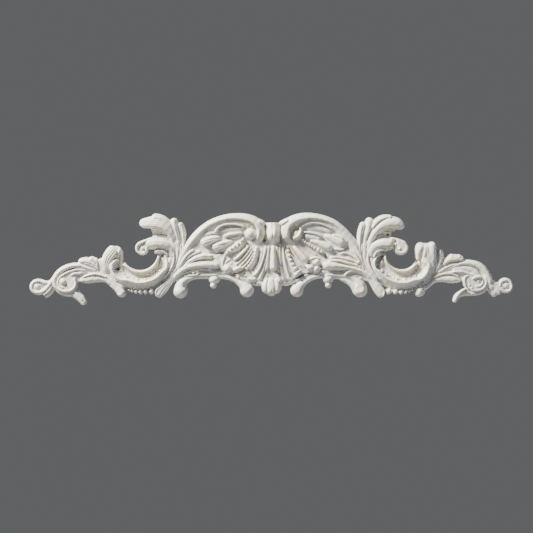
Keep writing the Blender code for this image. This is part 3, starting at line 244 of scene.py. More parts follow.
class Carving:
    """Gathers closed shapes that overlap, and the cuts made in them later.

    Side is -1 for left, 1 for right and 0 for the middle. On the right, a mirrored carving repeats the
    left half's drawing and moves it by the listed shifts, and one that isn't mirrored stays as it is
    drawn."""

    def __init__(self, side, mirrored=True):
        self.side = side
        self.mirrored = mirrored
        self.points = []
        self.faces = []
        self.cuts = []
        self.total = 0

    def placed(self, points):
        """Drawn points moved to the side they belong to, as (x, y, z) in millimetres."""
        points = np.asarray(points, float)
        if self.side > 0 and self.mirrored:
            points = by_hand(points)
        across = -1 if self.side < 0 else 1
        return np.stack([across * points[:, 0], points[:, 2], points[:, 1]], axis=1)

    def add(self, points, faces):
        """Take in one closed shape, with its faces turned over where the left side mirrors it."""
        self.points.append(self.placed(points))
        for face in faces:
            turned = face[::-1] if self.side < 0 else face
            self.faces.append([self.total + i for i in turned])
        self.total += len(points)

    def stroke(self, stations, section=rounded, tips=(1, 1)):
        """A swept form. A tip of 1 ends it in a round dome, and one of 0 leaves it square."""
        line, run = measured(stations)
        at = run[-1] * (0.5 - 0.5 * np.cos(np.linspace(0, math.pi, STATIONS)))
        out, up, half, proud = (np.interp(at, run, line[:, k]) for k in range(4))
        ahead = np.stack([np.gradient(out, at), np.gradient(up, at)])
        ahead /= np.maximum(np.hypot(*ahead), 1e-9)
        taper = np.ones(STATIONS)
        for tip, distance, end in ((tips[0], at, 0), (tips[1], run[-1] - at, -1)):
            if tip:
                near = np.clip(1 - distance / max(half[end] * tip, 0.1), 0, 1)
                taper *= np.sqrt(np.clip(1 - near**2, BLUNT**2, 1))
        across = -np.cos(np.linspace(0, math.pi, COLUMNS + 1))
        lip = np.minimum(LIP, proud * LIP_SHARE)[:, None]
        rise = (proud[:, None] - lip) * section(across)[None]
        rise = lip + np.maximum(rise, 0) * taper[:, None]
        side = across[None] * (half * taper)[:, None]
        front = np.stack([out[:, None] - ahead[1][:, None] * side,
                          up[:, None] + ahead[0][:, None] * side, -rise], axis=2)
        back = front[:, [-1, 0]].copy()
        back[:, :, 2] = SINK
        sections = np.concatenate([front, back], axis=1)
        self.add(sections.reshape(-1, 3), joined(*sections.shape[:2]))

    def dome(self, out, up, radius, proud, stretch=1.0, turn=0.0):
        """A pearl or boss: half an egg on an upright foot, stretched along its turn in degrees."""
        c, s = math.cos(math.radians(turn)), math.sin(math.radians(turn))
        foot = min(LIP, proud * LIP_SHARE)
        rise = np.linspace(0, math.pi / 2, RINGS + 1)
        reach = np.concatenate([[radius], radius * np.maximum(np.cos(rise), 0.01)])
        depth = np.concatenate([[SINK], -(foot + (proud - foot) * np.sin(rise))])
        angle = np.arange(SIDES) * 2 * math.pi / SIDES
        a = reach[:, None] * stretch * np.cos(angle)
        b = reach[:, None] * np.sin(angle)
        levels = np.stack([out + a * c - b * s, up + a * s + b * c,
                           np.repeat(depth[:, None], SIDES, 1)], axis=2)
        self.add(levels.reshape(-1, 3), joined(*levels.shape[:2]))

    def pearls(self, stations, count):
        """Beads along a line, as big as the stations' half widths, each turned across the line."""
        line, run = measured(stations)
        for at in np.linspace(0, run[-1], count):
            out, up, half, proud = (np.interp(at, run, line[:, k]) for k in range(4))
            near = min(int(np.searchsorted(run, at)), len(line) - 2)
            way = line[near + 1] - line[near]
            turn = math.degrees(math.atan2(way[1], way[0])) + 90
            self.dome(out, up, half, proud, turn=turn)

    def ground(self, outline, proud):
        """A low plate behind the carving, with a smooth outline."""
        line = smooth([(out, up, 0, 0) for out, up in outline + outline[:1]], 0.25)[:-1, :2]
        count = len(line)
        front = np.column_stack([line, np.full(count, -proud)])
        back = np.column_stack([line, np.full(count, SINK)])
        self.add(np.vstack([front, back]), [face[::-1] for face in joined(2, count)])

    def crease(self, stations):
        """A cut made after the forms have melted: stations of (out, up, half width, depth)."""
        line = smooth(stations, 0.1)
        flat = self.placed(np.column_stack([line[:, :2], np.zeros(len(line))]))
        self.cuts.append(np.column_stack([flat[:, 0], flat[:, 2], line[:, 2:]]))

    def pit(self, out, up, radius, depth):
        """A round hollow cut after the forms have melted."""
        self.crease([(out, up, radius, depth), (out + 0.1, up, radius, depth)])


def knot(carving):
    """The band that ties the two crest scrolls together over the shell."""
    carving.stroke([(1.2, 35.4, 7.9, 13), (1.2, 33, 8, 13.6), (1.2, 30.6, 7.8, 14.6), (1.2, 28, 7.6, 16),
                    (1.4, 25.4, 7.3, 17.4), (1.5, 22.8, 7, 18), (1.6, 20.4, 6.7, 16.8),
                    (1.7, 18, 6.4, 13.8), (1.8, 15.4, 6.2, 9.4), (1.8, 12, 6, 5.6)], veined(4, 0.04),
                   tips=(0, 0.6))
    for out in (-2.9, 1.1, 5.2):
        carving.crease([(out, 35, 0.8, 0.15), (out, 27, 0.9, 0.3), (out * 0.8 + 0.4, 17, 1.1, 0.9)])
    carving.stroke([(-14.4, 38, 2.8, 15.6), (-9.8, 35, 3.2, 15), (-6, 33.4, 3, 13.6)])
    carving.stroke([(18, 38.8, 2.8, 15.6), (12.6, 35.6, 3.2, 15), (8, 33.4, 3, 13.6)])
    carving.crease([(-6.4, 29, 0.9, 0.6), (-6.8, 24, 1.2, 1.6), (-7.4, 17, 2.2, 5)])
    carving.crease([(9.4, 29, 0.9, 0.6), (9.6, 24, 1.2, 1.4), (9.4, 16, 2, 4)])


def crest_scroll(carving):
    """The arch over the shell: a band that rises from the spray and rolls under beside the knot."""
    band = [(95, -12, 1.4, 8), (91.4, -2, 2, 9.4), (87.4, 8, 2.6, 10.8), (82.2, 15.8, 3, 12),
            (74.7, 24.8, 3.1, 13), (67.6, 31, 3.1, 13.8), (59.4, 36.2, 3.1, 14.4), (49.4, 40, 3, 15.2),
            (39.4, 41.8, 3.1, 16), (29, 41.3, 3.7, 16.6), (20, 39.2, 4, 17), (13.4, 34.8, 4.6, 17.2),
            (10.4, 28, 4.4, 17), (11, 21.4, 4.2, 16), (15, 16.8, 3.4, 12), (21.4, 15.4, 2.9, 9.4),
            (26.8, 17.4, 2.3, 8.4)]
    carving.stroke(band, sloped(0.16))
    carving.stroke([(88, 3, 3, 9), (80.4, 13, 3.8, 10), (72.4, 21.4, 4.2, 10.8), (62.4, 29.6, 4.4, 11.4),
                    (50.4, 35, 4.2, 12.2), (38.4, 36.6, 4.4, 13), (28, 35.2, 4.6, 13.6),
                    (19, 31.6, 4, 13.8)], sloped(-0.12))
    carving.crease([(70, 26, 1.2, 0.4), (60, 33.2, 1.3, 0.6), (50, 37, 1.3, 0.7), (39.4, 38.5, 1.3, 0.8),
                    (29, 37.8, 1.3, 0.8), (22, 35.6, 1.2, 0.6)])


def scroll_eye_left(carving):
    """The round end of the left crest scroll, with a small spiral cut into it."""
    carving.dome(21, 24.4, 7.1, 15)
    carving.dome(19.4, 31.4, 4, 12)
    carving.crease(coil((21.4, 24.6), (100, -150), (4.2, 3.2), (1, 1.2), (0.5, 1), ease=1, count=9))
    carving.crease([(15, 20.4, 1.1, 0.3), (17.8, 17.8, 1.2, 0.5), (21.6, 17, 1.3, 0.7),
                    (26, 18.8, 1.2, 1)])


def scroll_eye_right(carving):
    """The hooked end of the right crest scroll, beside its hollow."""
    carving.dome(24.8, 24.6, 5.2, 13)
    carving.dome(23, 30, 4, 10.4)
    carving.stroke([(28.6, 31.6, 1.6, 12.4), (29, 27.4, 2.3, 13.8), (27.6, 23.2, 2.8, 14.4),
                    (24.6, 20.8, 2.8, 14.4), (20.4, 19.4, 2.6, 14.2)], crowned)
    carving.crease([(36, 37.2, 1.6, 0.8), (29, 35, 2.4, 1.4), (24, 31, 2.6, 2), (21.6, 27, 2.2, 2),
                    (21.4, 23.6, 1.4, 1)])


def shell_ground(carving):
    """The low floor of the shell, and the fine hem between its lobes and the band below."""
    carving.ground([(4, 14), (8, 30), (30, 38), (50, 36), (66, 27), (78, 14), (84, 2), (74, 0), (60, -2),
                    (52, -8), (51, -12), (36, -15), (24, -19), (12, -23), (4, -20)], 8)
    carving.stroke([(25, -15.4, 1.6, 7.4), (31, -17.4, 1.9, 7.6), (37, -17.4, 1.6, 7.4)])
    carving.stroke([(36, -17, 2.4, 7), (44, -16.4, 2.8, 7.2), (52, -14.4, 3.8, 7.4),
                    (60, -14.4, 2.8, 7.2)])
    carving.stroke([(4, -21, 3, 7), (12, -24.6, 3.6, 7.6), (20, -23, 3.6, 7.4), (30, -20, 3.4, 7),
                    (42, -18, 3, 6.8)])


def shell_wing_left(carving):
    """The flutes and lobes of the shell's left half, under the arch."""
    carving.stroke([(26.6, 31.4, 1.1, 12), (33, 33.4, 1.3, 12.8), (41, 34.2, 1.5, 13),
                    (48.4, 33.2, 1.6, 12.8), (53.4, 30.4, 1.9, 12.4), (56, 26.4, 2.4, 12),
                    (57.4, 24, 1.6, 11)])
    carving.stroke([(53, 27, 3, 9.6), (45, 28.6, 4.4, 10.2), (36, 29, 4, 10.6), (28.6, 28.6, 2.6, 10.4)],
                   roofed)
    carving.crease([(53, 28.8, 1.5, 1), (46, 31, 1.4, 0.6), (38, 31.6, 1.3, 0.5), (30, 30.4, 1.1, 0.4)])
    carving.stroke([(28.4, 25.8, 1.6, 11.6), (36, 24.6, 2.1, 12.4), (43, 23.2, 2.1, 12.4),
                    (48.6, 21, 2, 11.8)])
    carving.stroke([(31, 21.4, 2, 9.6), (38, 20.4, 2.4, 10), (46.4, 17.8, 2.2, 10.2)])
    carving.crease([(38, 18.8, 1.3, 1.4), (42, 19.4, 1.2, 1.4), (46, 18.6, 1, 1)])
    carving.stroke([(50, 20.4, 2.4, 10), (56, 19.8, 3.9, 12), (64, 17.4, 5, 13), (71.2, 14, 4.4, 13.2)],
                   crowned)
    carving.crease([(52, 20.2, 0.8, 0.5), (60, 18.6, 0.9, 0.6), (68, 16.4, 0.8, 0.5)])
    carving.stroke([(53, 23.6, 1.4, 10), (58, 25.4, 2, 11), (62, 24.6, 2, 11), (67, 22.4, 1.4, 10)])
    carving.stroke([(60, 27.4, 1.4, 10), (66, 24.4, 1.7, 10.4), (71, 20, 1.5, 9.6)])
    carving.stroke([(38, 17.4, 1.6, 10), (46, 15.4, 3.1, 11.4), (53, 12.6, 4.2, 12.6),
                    (60, 9.8, 3.2, 12.2)], crowned)
    carving.crease([(42, 15.4, 0.9, 0.5), (50, 13.4, 1, 0.7), (58, 10.4, 0.8, 0.6)])
    carving.crease([(49.4, 5.6, 1.8, 4), (55, 4.8, 2.1, 4), (60.4, 5, 1.5, 2.6)])
    carving.stroke([(27, 17, 3, 10), (35, 11.4, 3.6, 11.2), (44, 6, 3.2, 11)], crowned)
    for out, up, radius in ((28.4, 18.8, 2.4), (30.8, 16.8, 2.2), (30.4, 14.6, 1.8), (33.4, 14.6, 2.5),
                            (34.4, 12, 1.9), (36.6, 12.4, 2.3), (38.4, 10, 2.5), (40.8, 9.4, 2.1),
                            (41, 7, 2), (43.4, 7.4, 2.4), (44.8, 5, 2.2)):
        carving.dome(out, up, radius, 12.8)
    carving.crease([(25, 15, 1, 1.2), (30, 9.8, 1.4, 1.8), (35, 6.6, 1.5, 2), (40, 4, 1.5, 2),
                    (44.4, 3, 1, 1.2)])


def shell_wing_right(carving):
    """The broad flute and the lobes of the shell's right half, under the arch."""
    carving.stroke([(29.4, 30.6, 0.9, 12.4), (35, 34, 1.2, 13), (42, 35.4, 1.4, 13.2),
                    (50, 34.2, 1.4, 13), (56, 31.6, 1.3, 12.6), (61, 29, 1.1, 12)])
    carving.stroke([(33, 30, 3.4, 10.4), (42, 31, 4, 10.6), (52, 29, 3.4, 10.6), (60, 25.6, 2.2, 10.4)],
                   flat_topped)
    carving.stroke([(31.4, 26, 1.4, 12.2), (38, 25.6, 1.7, 12.8), (45, 24, 1.7, 12.6),
                    (50.4, 21.6, 1.6, 12)])
    carving.stroke([(32, 22, 3, 11.4), (42, 21, 3.4, 11.2), (50, 18.8, 2.6, 10.8)], flat_topped)
    carving.stroke([(31, 19, 2.6, 10.6), (36, 18, 2.8, 10.8)], flat_topped)
    carving.stroke([(52, 23, 2.4, 10), (58, 21, 3.8, 11.4), (66, 17, 5, 12.8), (73.4, 13, 4.6, 13)],
                   crowned)
    carving.stroke([(60.4, 23.4, 1.4, 11), (66.4, 21.8, 1.5, 11.4), (72, 18.4, 1.4, 10.8)])
    carving.stroke([(62, 9.4, 1.8, 10.4), (68.4, 8.6, 2, 11), (73.6, 8.4, 1.6, 10.4)])
    carving.crease([(60, 19.4, 0.9, 0.6), (67, 15.4, 1, 0.6), (74, 10.4, 0.9, 0.6)])
    carving.crease([(76.4, 15, 1.4, 2), (76, 11, 1.8, 2.6), (73, 7.8, 1.2, 1.8), (66, 6.8, 1.1, 1.6)])
    carving.stroke([(38, 17.6, 1.7, 11), (46, 15.6, 3.4, 12.2), (54, 12, 4.6, 13), (61, 8.8, 3.6, 12.8)],
                   crowned)
    carving.stroke([(31, 13.4, 3.4, 8.6), (38, 7.6, 3.8, 9), (46.6, 1.4, 2.8, 9)])
    for out, up, radius in ((31.4, 18, 1.8), (33.4, 16, 2.1), (35.8, 14.6, 1.9), (38, 13.2, 2.3),
                            (40.4, 11.8, 2), (43, 10, 2.4), (46.4, 7.8, 3), (49.6, 6.4, 2)):
        carving.dome(out, up, radius, 12.8)
    carving.crease([(39.6, 9, 0.9, 0.5), (44, 5.4, 1, 0.8)])
    carving.crease([(50, 4.4, 1.4, 2), (53.4, 3, 2.2, 4), (54.8, 0, 1.6, 3.4)])


def shell_fan_left(carving):
    """The ribs, beaded strings and lobes that hang from the knot in the shell's left half."""
    carving.stroke([(22.4, 12.6, 1.8, 11), (27.4, 6.8, 2.1, 12), (33, 1.4, 2.2, 12.2),
                    (38.4, -2.4, 1.9, 11.4)])
    carving.stroke([(23.4, 8.4, 1.8, 10), (28.4, 2.4, 2.2, 10.2), (33.4, -2.4, 2.4, 10.2)])
    carving.crease([(25.2, 6, 1, 1), (29.6, 0.8, 1.4, 1.6), (33, -2.2, 1.8, 1.8)])
    for start, end in (((19.8, 11), (36.6, -7.6)), ((18.2, 9), (33.8, -10)), ((17.4, 6), (30.4, -11.4))):
        middle = ((start[0] + end[0]) / 2 - 1.2, (start[1] + end[1]) / 2 - 0.4)
        carving.stroke([(*start, 1.1, 10.6), (*middle, 1.3, 11.2), (*end, 1.5, 10.6)])
    carving.stroke([(26, -7.6, 2.2, 9.8), (33, -10.4, 3, 11.2), (39, -12.4, 2.8, 11)])
    carving.crease([(26.6, -10.8, 1, 1.6), (31, -14, 1, 1.8), (37, -15.6, 1, 1.4)])
    carving.stroke([(15, 11, 1.8, 9.8), (16.4, 3, 2.3, 10.4), (19, -5, 2.6, 10.4), (23, -10.4, 2.4, 10)])
    for out, up, radius in ((14.8, 10, 2), (16, 6.8, 2.2), (16.4, 3.6, 2), (17.4, 0.6, 2.3),
                            (18.8, -2.6, 2.1), (20.4, -5.4, 2.4), (22.6, -8, 2.3), (24.8, -10.4, 2)):
        carving.dome(out, up, radius, 12.2)
    carving.crease([(12, 9, 1.5, 1.2), (12.8, 1, 2, 2), (15.2, -6.4, 2.4, 2.6), (19.6, -12, 2, 2)])
    carving.stroke([(5.8, 12.6, 1.3, 11.2), (7.2, 4, 1.4, 11.8), (9.6, -4, 1.5, 11.8),
                    (12.4, -11, 1.8, 11.2), (16, -16, 2.4, 10.4), (20.2, -17.6, 2.8, 10.2)])
    carving.stroke([(9.2, 10, 1.1, 9.6), (10.6, 2, 1.2, 9.8), (13, -5, 1.2, 9.8),
                    (16.6, -11.4, 1.3, 9.6)])
    carving.stroke([(2.6, 12.4, 1.1, 11), (3.8, 4, 1.2, 11.2), (5.8, -4, 1.3, 10.8),
                    (8.4, -12, 1.7, 10.2), (10.8, -18, 2.6, 10), (11.4, -23.4, 3.6, 10.4)])
    carving.stroke([(14.4, -19.4, 2.4, 9), (19, -21.4, 2.8, 9.4), (24.6, -19.8, 1.8, 9)])
    carving.dome(33.4, -19.4, 1.6, 8.6)
    carving.pit(27.2, -16, 1.9, 3.4)
    carving.crease([(15.6, -24.8, 1.4, 2.6), (19.4, -25, 1.4, 2.6)])
    carving.crease([(5.4, -12, 0.7, 1.2), (8, -19, 0.9, 1.4), (9.4, -24, 0.7, 0.6)])


def shell_fan_right(carving):
    """The ribs, the row of big beads and the round-ended finger of the shell's right half."""
    carving.stroke([(21.6, 12.4, 2, 10.6), (27, 6.4, 2.9, 12.4), (32.6, 0.4, 3.6, 13.4),
                    (36.8, -3.6, 3.5, 13.2)], crowned)
    carving.crease([(26.4, 12, 1.2, 1.4), (31.6, 6.6, 1.5, 1.8), (37.6, 0.4, 1.6, 1.8),
                    (41, -4, 1.3, 1.2)])
    carving.crease([(20.6, 9.6, 1, 1.2), (25.4, 2.8, 1.1, 1.4), (31, -4.4, 1.1, 1.4), (34.4, -7.6, 1, 1)])
    carving.stroke([(18.6, 10, 1.4, 10), (23.4, 3, 1.5, 10.6), (29, -4.4, 1.6, 10.8),
                    (33.6, -9, 1.6, 10.4)])
    carving.stroke([(19.4, 4, 1.1, 9.6), (24, -3, 1.2, 10.2), (29.6, -9, 1.4, 10.2)])
    for out, up, radius in ((16, 11, 1.8), (16.8, 7.2, 2.2), (17.6, 2.6, 2.5), (19, -2, 2.6),
                            (21.4, -6.2, 2.6), (24, -10, 2.8), (27, -13.8, 2.8), (24.6, -16.4, 2.2)):
        carving.dome(out, up, radius, 12, stretch=1.15)
    carving.stroke([(14.4, 9, 1.8, 10), (16.4, 0, 2.2, 10), (20, -8, 2.4, 10), (24, -14.6, 2.6, 9.6)])
    carving.stroke([(11.4, 12.4, 1.2, 10.6), (12, 4, 1.3, 11.2), (13.4, -5, 1.4, 11.2),
                    (15.4, -12.4, 1.6, 10.8), (18, -19.4, 2.4, 10)])
    carving.stroke([(13.6, 8, 1, 9.8), (14, -1, 1.1, 10), (16, -9, 1.2, 10), (19.4, -16, 1.4, 9.6)])
    carving.pearls([(8, 10.4, 1.1, 10.6), (8, 2, 1.2, 10.8), (8.8, -6, 1.2, 10.6)], 12)
    carving.stroke([(8, -8, 1.3, 10.4), (9.4, -14, 1.8, 10.2), (12, -19.4, 2.8, 10.2),
                    (14, -23.4, 3.4, 10.2)])
    carving.stroke([(5.4, -15.4, 1.6, 9.8), (7.6, -20, 2.4, 10), (10.4, -25, 3, 9.8)])
    carving.stroke([(15.4, -17, 2, 9.6), (19, -21, 2.6, 9.6), (22.4, -21.4, 2, 9)])
    carving.crease([(10, -4, 0.9, 0.9), (11, -11, 0.9, 0.9), (15.4, -19, 0.9, 1)])
    carving.crease([(23, -21.6, 1.3, 2.2), (27, -19.4, 1.6, 4), (31.4, -16.8, 1.5, 4),
                    (33.4, -16, 1.1, 2.4)])


def shell_tip_left(carving):
    """The ball and thin stems at the outer corner of the shell's left half."""
    carving.dome(44, -10.4, 5.2, 12)
    carving.pit(43, -13.4, 1.8, 1)
    carving.stroke([(38.6, -0.4, 0.9, 8), (43.6, -2.4, 1.2, 9), (46.8, -6, 1.2, 9)])
    carving.stroke([(46, 4, 0.9, 9), (47.6, 0.4, 1.2, 9.6), (49, -4.6, 1.3, 9.6), (48.6, -8.4, 1.2, 9)])
    carving.stroke([(37.6, -4.4, 1, 8), (40.4, -5.4, 1.2, 9), (43, -5.8, 1, 9)])
    carving.stroke([(50.6, -4, 1, 8), (54.6, -0.4, 1.2, 8.6), (56.8, 3, 1.1, 8.2)])
    carving.crease([(37.4, -16.6, 1.1, 2), (42, -17, 1.2, 2.2), (46.6, -16, 1, 1.6)])


def shell_tip_right(carving):
    """The lumps at the outer corner of the shell's right half."""
    carving.stroke([(34, -10.6, 3.4, 10.6), (39.4, -8.6, 4.6, 11.8), (44, -7, 4.4, 12)], crowned)
    carving.dome(44.6, -11.2, 4.2, 12)
    carving.dome(45.4, -4, 3.6, 11.8)
    carving.dome(38.6, -4.4, 2.6, 10.8)
    carving.stroke([(36, -3, 1.6, 9.4), (43, 0.6, 1.6, 9.6), (48.6, -0.8, 1.3, 9.4)])
    carving.pit(48.8, -8.4, 1.6, 3.6)
    carving.pit(50.2, -11.8, 1.5, 3.6)
    carving.crease([(36, -15.8, 1, 1.6), (42, -16.6, 1.1, 1.8), (47.6, -15, 1, 1.4)])
    carving.crease([(38, -6.4, 1, 0.6), (43.4, -8, 1.1, 0.9), (47, -7.4, 0.9, 0.6)])


def shell_middle(carving):
    """The fat middle rib, and the lumpy three-part lobe below it."""
    carving.ground([(-12, 14), (12, 14), (16, -18), (9, -28), (0, -33), (-9, -28), (-14, -18)], 7.4)
    carving.stroke([(1.6, 13.4, 2.8, 11), (1.9, 5, 3.5, 13.2), (2.2, -6, 4.2, 14.4),
                    (2.2, -13.4, 4.2, 14.2)], crowned)
    carving.crease([(-0.4, 11, 0.8, 0.6), (-0.4, 0, 0.9, 0.7), (-0.6, -9, 0.8, 0.4)])
    carving.crease([(3.6, 11, 0.9, 0.6), (4, 0, 1.2, 1), (4.2, -10, 1.4, 1.1), (3.6, -14, 1, 0.6)])
    carving.stroke([(-2.6, 13, 1.1, 10.8), (-3.4, 4, 1.2, 11), (-4.6, -6, 1.4, 10.8), (-6, -14, 1.5, 10)])
    carving.stroke([(5.4, 12, 1, 10.2), (6.2, 3, 1, 10.4), (6.8, -8, 1.1, 10.2), (7, -15, 1.2, 9.6)])
    carving.stroke([(-0.2, -18.6, 3.4, 9), (-0.4, -26, 6.2, 11), (-0.2, -32, 6.4, 11.4),
                    (0, -38.4, 5, 10)], crowned)
    for side in (-1, 1):
        carving.stroke([(3 * side, -19.6, 2.8, 9), (5.6 * side, -25.4, 4.2, 10.6),
                        (5.8 * side, -30, 4.2, 10.8), (4 * side, -35.6, 3.4, 9.6)])
        carving.crease([(2.8 * side, -20, 1, 0.9), (3.8 * side, -24.6, 1.2, 0.7),
                        (4 * side, -28.6, 1, 0.3)])
    carving.crease([(0.6, -31, 0.9, 0.2), (0.4, -34.6, 1, 0.4), (0.2, -38, 0.9, 0.4)])


def spray(carving):
    """The floor and the outer strands of the acanthus spray between the C-scroll and the shell."""
    carving.ground([(98, -24), (99, -6), (92, 8), (84, 12), (74, 9), (60, 3), (52, -8), (60, -17),
                    (82, -18)], 6.6)
    carving.stroke([(94.4, -12, 1.2, 8.4), (90.4, -5, 1.8, 9.8), (86, 1.4, 2.1, 10.8), (81.4, 6, 2, 10.8),
                    (76.8, 8.8, 1.6, 9.8)])
    carving.stroke([(89.4, -6.4, 1, 8.6), (83.4, 0.4, 1.4, 10), (77.4, 4.2, 1.7, 10.2),
                    (70.4, 7.2, 1.7, 9.6)])
    carving.stroke([(88.4, -8.4, 0.9, 8.6), (82, -2, 1.3, 9.6), (75.4, 1.8, 1.3, 9.6), (69.4, 4, 1, 9)])


def spray_left(carving):
    """The left spray: a long smooth blade with a second over it and an oval curl under it."""
    blade = [(99.4, -21.6, 2, 8), (95.4, -17, 2.7, 9.4), (89.4, -12, 3.2, 10.6), (81.4, -8.4, 3.6, 11.6),
             (72.4, -6.9, 3.9, 12), (62.4, -6.6, 4, 12), (52, -7.6, 3.2, 11)]
    carving.stroke(blade, crowned)
    carving.crease(beside(blade[1:6], 0.5, 0.16, 0.5))
    carving.crease(beside(blade[:5], -0.3, 0.2, 0.7))
    upper = [(88, -8.4, 1.4, 8.6), (82.4, -4, 2.1, 10), (75.4, -0.4, 2.6, 11), (67.4, 1.8, 3, 11.2),
             (58.4, 1.4, 2.4, 10)]
    carving.stroke(upper, crowned)
    carving.crease(beside(upper[1:], 0.1, 0.25, 0.7))
    carving.crease([(56, -1.2, 0.9, 1.4), (63, -1.2, 1, 1.6), (71, -1.9, 1, 1.6), (79, -4.8, 0.9, 1.4),
                    (86, -9, 0.8, 1)])
    carving.stroke([(88.4, -14, 1.2, 8.4), (81.4, -11, 1.5, 9.4), (71.4, -10.8, 1.6, 9.4),
                    (61.6, -12.2, 1.5, 9)])
    carving.crease([(63, -13.8, 1.1, 2), (67.4, -13, 1.2, 2.2), (71, -13, 1, 1.4)])
    carving.stroke([(92.4, -17, 1.2, 7.6), (86.4, -14.4, 1.4, 9), (79.4, -12.4, 1.6, 9.6),
                    (73.8, -13.4, 1.6, 9.4), (73.4, -16, 1.2, 9), (78, -17, 1.2, 8.6),
                    (84, -16.6, 1, 8.2)])
    carving.dome(78, -14.8, 1.8, 9.6, stretch=1.6)
    carving.crease([(53, -11.2, 1, 1.6), (60, -10.8, 0.8, 1)])


def spray_right(carving):
    """The right spray: a fat rounded tip, a leaf of three strands over it and a dished one under it."""
    blade = [(101, -23, 2, 8), (96, -18, 2.6, 9.4), (90, -13.6, 2.8, 10.4), (82, -10.6, 2.9, 11.2),
             (72, -8.8, 3.2, 11.6), (64, -7.8, 4.2, 12.2), (57, -7.4, 4.6, 12.4), (51, -8, 4, 11.6)]
    carving.stroke(blade, crowned)
    carving.crease(beside(blade[1:6], 0.25, 0.2, 0.7))
    carving.stroke([(90, -9.8, 1.2, 8.6), (82.4, -6.6, 1.7, 10), (74.4, -4.4, 1.9, 11),
                    (66.4, -2.6, 2, 11.2), (56.4, -3, 2.4, 11)])
    carving.crease([(66, -4.6, 1, 1.6), (73.4, -6.2, 1.1, 2), (80.4, -8.6, 1, 1.6), (87, -11, 0.9, 1)])
    carving.stroke([(88, -6, 1.2, 8.8), (81, -2.6, 1.6, 9.8), (73.4, -0.6, 1.7, 10.4),
                    (65.4, 1.2, 1.7, 10.4), (57.4, -0.4, 1.5, 9.6)])
    carving.stroke([(86, -2, 1, 9), (79, 3.6, 1.7, 10), (72.4, 5.4, 2, 10.4), (67.6, 3.6, 1.6, 10)])
    carving.crease([(68, 1.2, 0.8, 1), (74, 2, 0.9, 1.4), (81, -0.6, 0.8, 1)])
    carving.dome(87, -4, 1.5, 11.4)
    carving.crease([(60, -13, 1.1, 2), (66, -13.6, 1.4, 3), (72.4, -13.4, 1.1, 2.4)])
    carving.stroke([(93, -17.4, 1.2, 8), (86.4, -13.8, 1.5, 9.4), (79.4, -13, 1.7, 10.2),
                    (74.4, -15.8, 1.9, 10), (73.6, -18.6, 1.3, 9)])
    carving.stroke([(92, -18.8, 1.8, 7), (84, -17, 2.6, 7), (77, -17.6, 2, 6.8)])
    carving.stroke([(91, -20.6, 1, 8), (84, -20, 1.1, 8.2), (77, -20.2, 1, 8)])


def festoon(carving):
    """The arched band between two round feet under the spray, with its pendant."""
    arm = [(91.2, -40.6, 6.9, 9), (91.4, -33, 7, 10), (90, -26, 5.6, 9.4), (85.4, -21.4, 4.1, 8.4),
           (77.4, -19, 2.6, 7.4), (65.4, -18.6, 2.4, 7), (54.4, -18.4, 2.4, 7), (44.4, -19.2, 2.6, 7),
           (36.4, -22, 3, 7.6), (30, -26.4, 4, 8.6), (25.6, -31, 6, 10), (24.4, -39.4, 6, 9)]
    carving.stroke(arm)
    carving.stroke([(88, -18.4, 1, 8.4), (78, -17.8, 1.1, 8.4), (66, -17.2, 1.1, 8.2),
                    (54, -17, 1.1, 8.2)])
    carving.dome(91, -33, 7, 11.4)
    carving.dome(24.5, -32.4, 7, 11)
    carving.dome(57.4, -21.6, 4.6, 9.5, stretch=1.28)
    carving.crease([(52.4, -24.4, 0.7, 0.7), (57.4, -25.4, 0.8, 0.9), (62, -24.4, 0.7, 0.7)])
    carving.dome(58.2, -27.4, 3.3, 8.5)


def feet_left(carving):
    """The marks on the round feet of the left arch."""
    carving.crease([(22.4, -29.4, 1.1, 0.15), (24.4, -30.8, 1.3, 0.3), (26.4, -32.4, 1.1, 0.15)])
    carving.crease([(88, -25, 1, 0.3), (87.4, -29, 1.2, 0.4), (89, -31.4, 1, 0.2)])


def feet_right(carving):
    """The dished face of the right arch's outer foot, and the plain sweep that leads to it."""
    carving.stroke([(68, -20.4, 1.8, 7), (75.4, -23, 2.8, 7.6), (81.4, -27.4, 3.4, 8.4),
                    (85.4, -32.6, 4, 9)])
    carving.dome(87.8, -31.4, 7, 11)
    carving.pit(88, -30.8, 4.2, 2)
    carving.crease([(25, -30.6, 1.2, 0.3), (26.4, -32.6, 1.2, 0.4)])


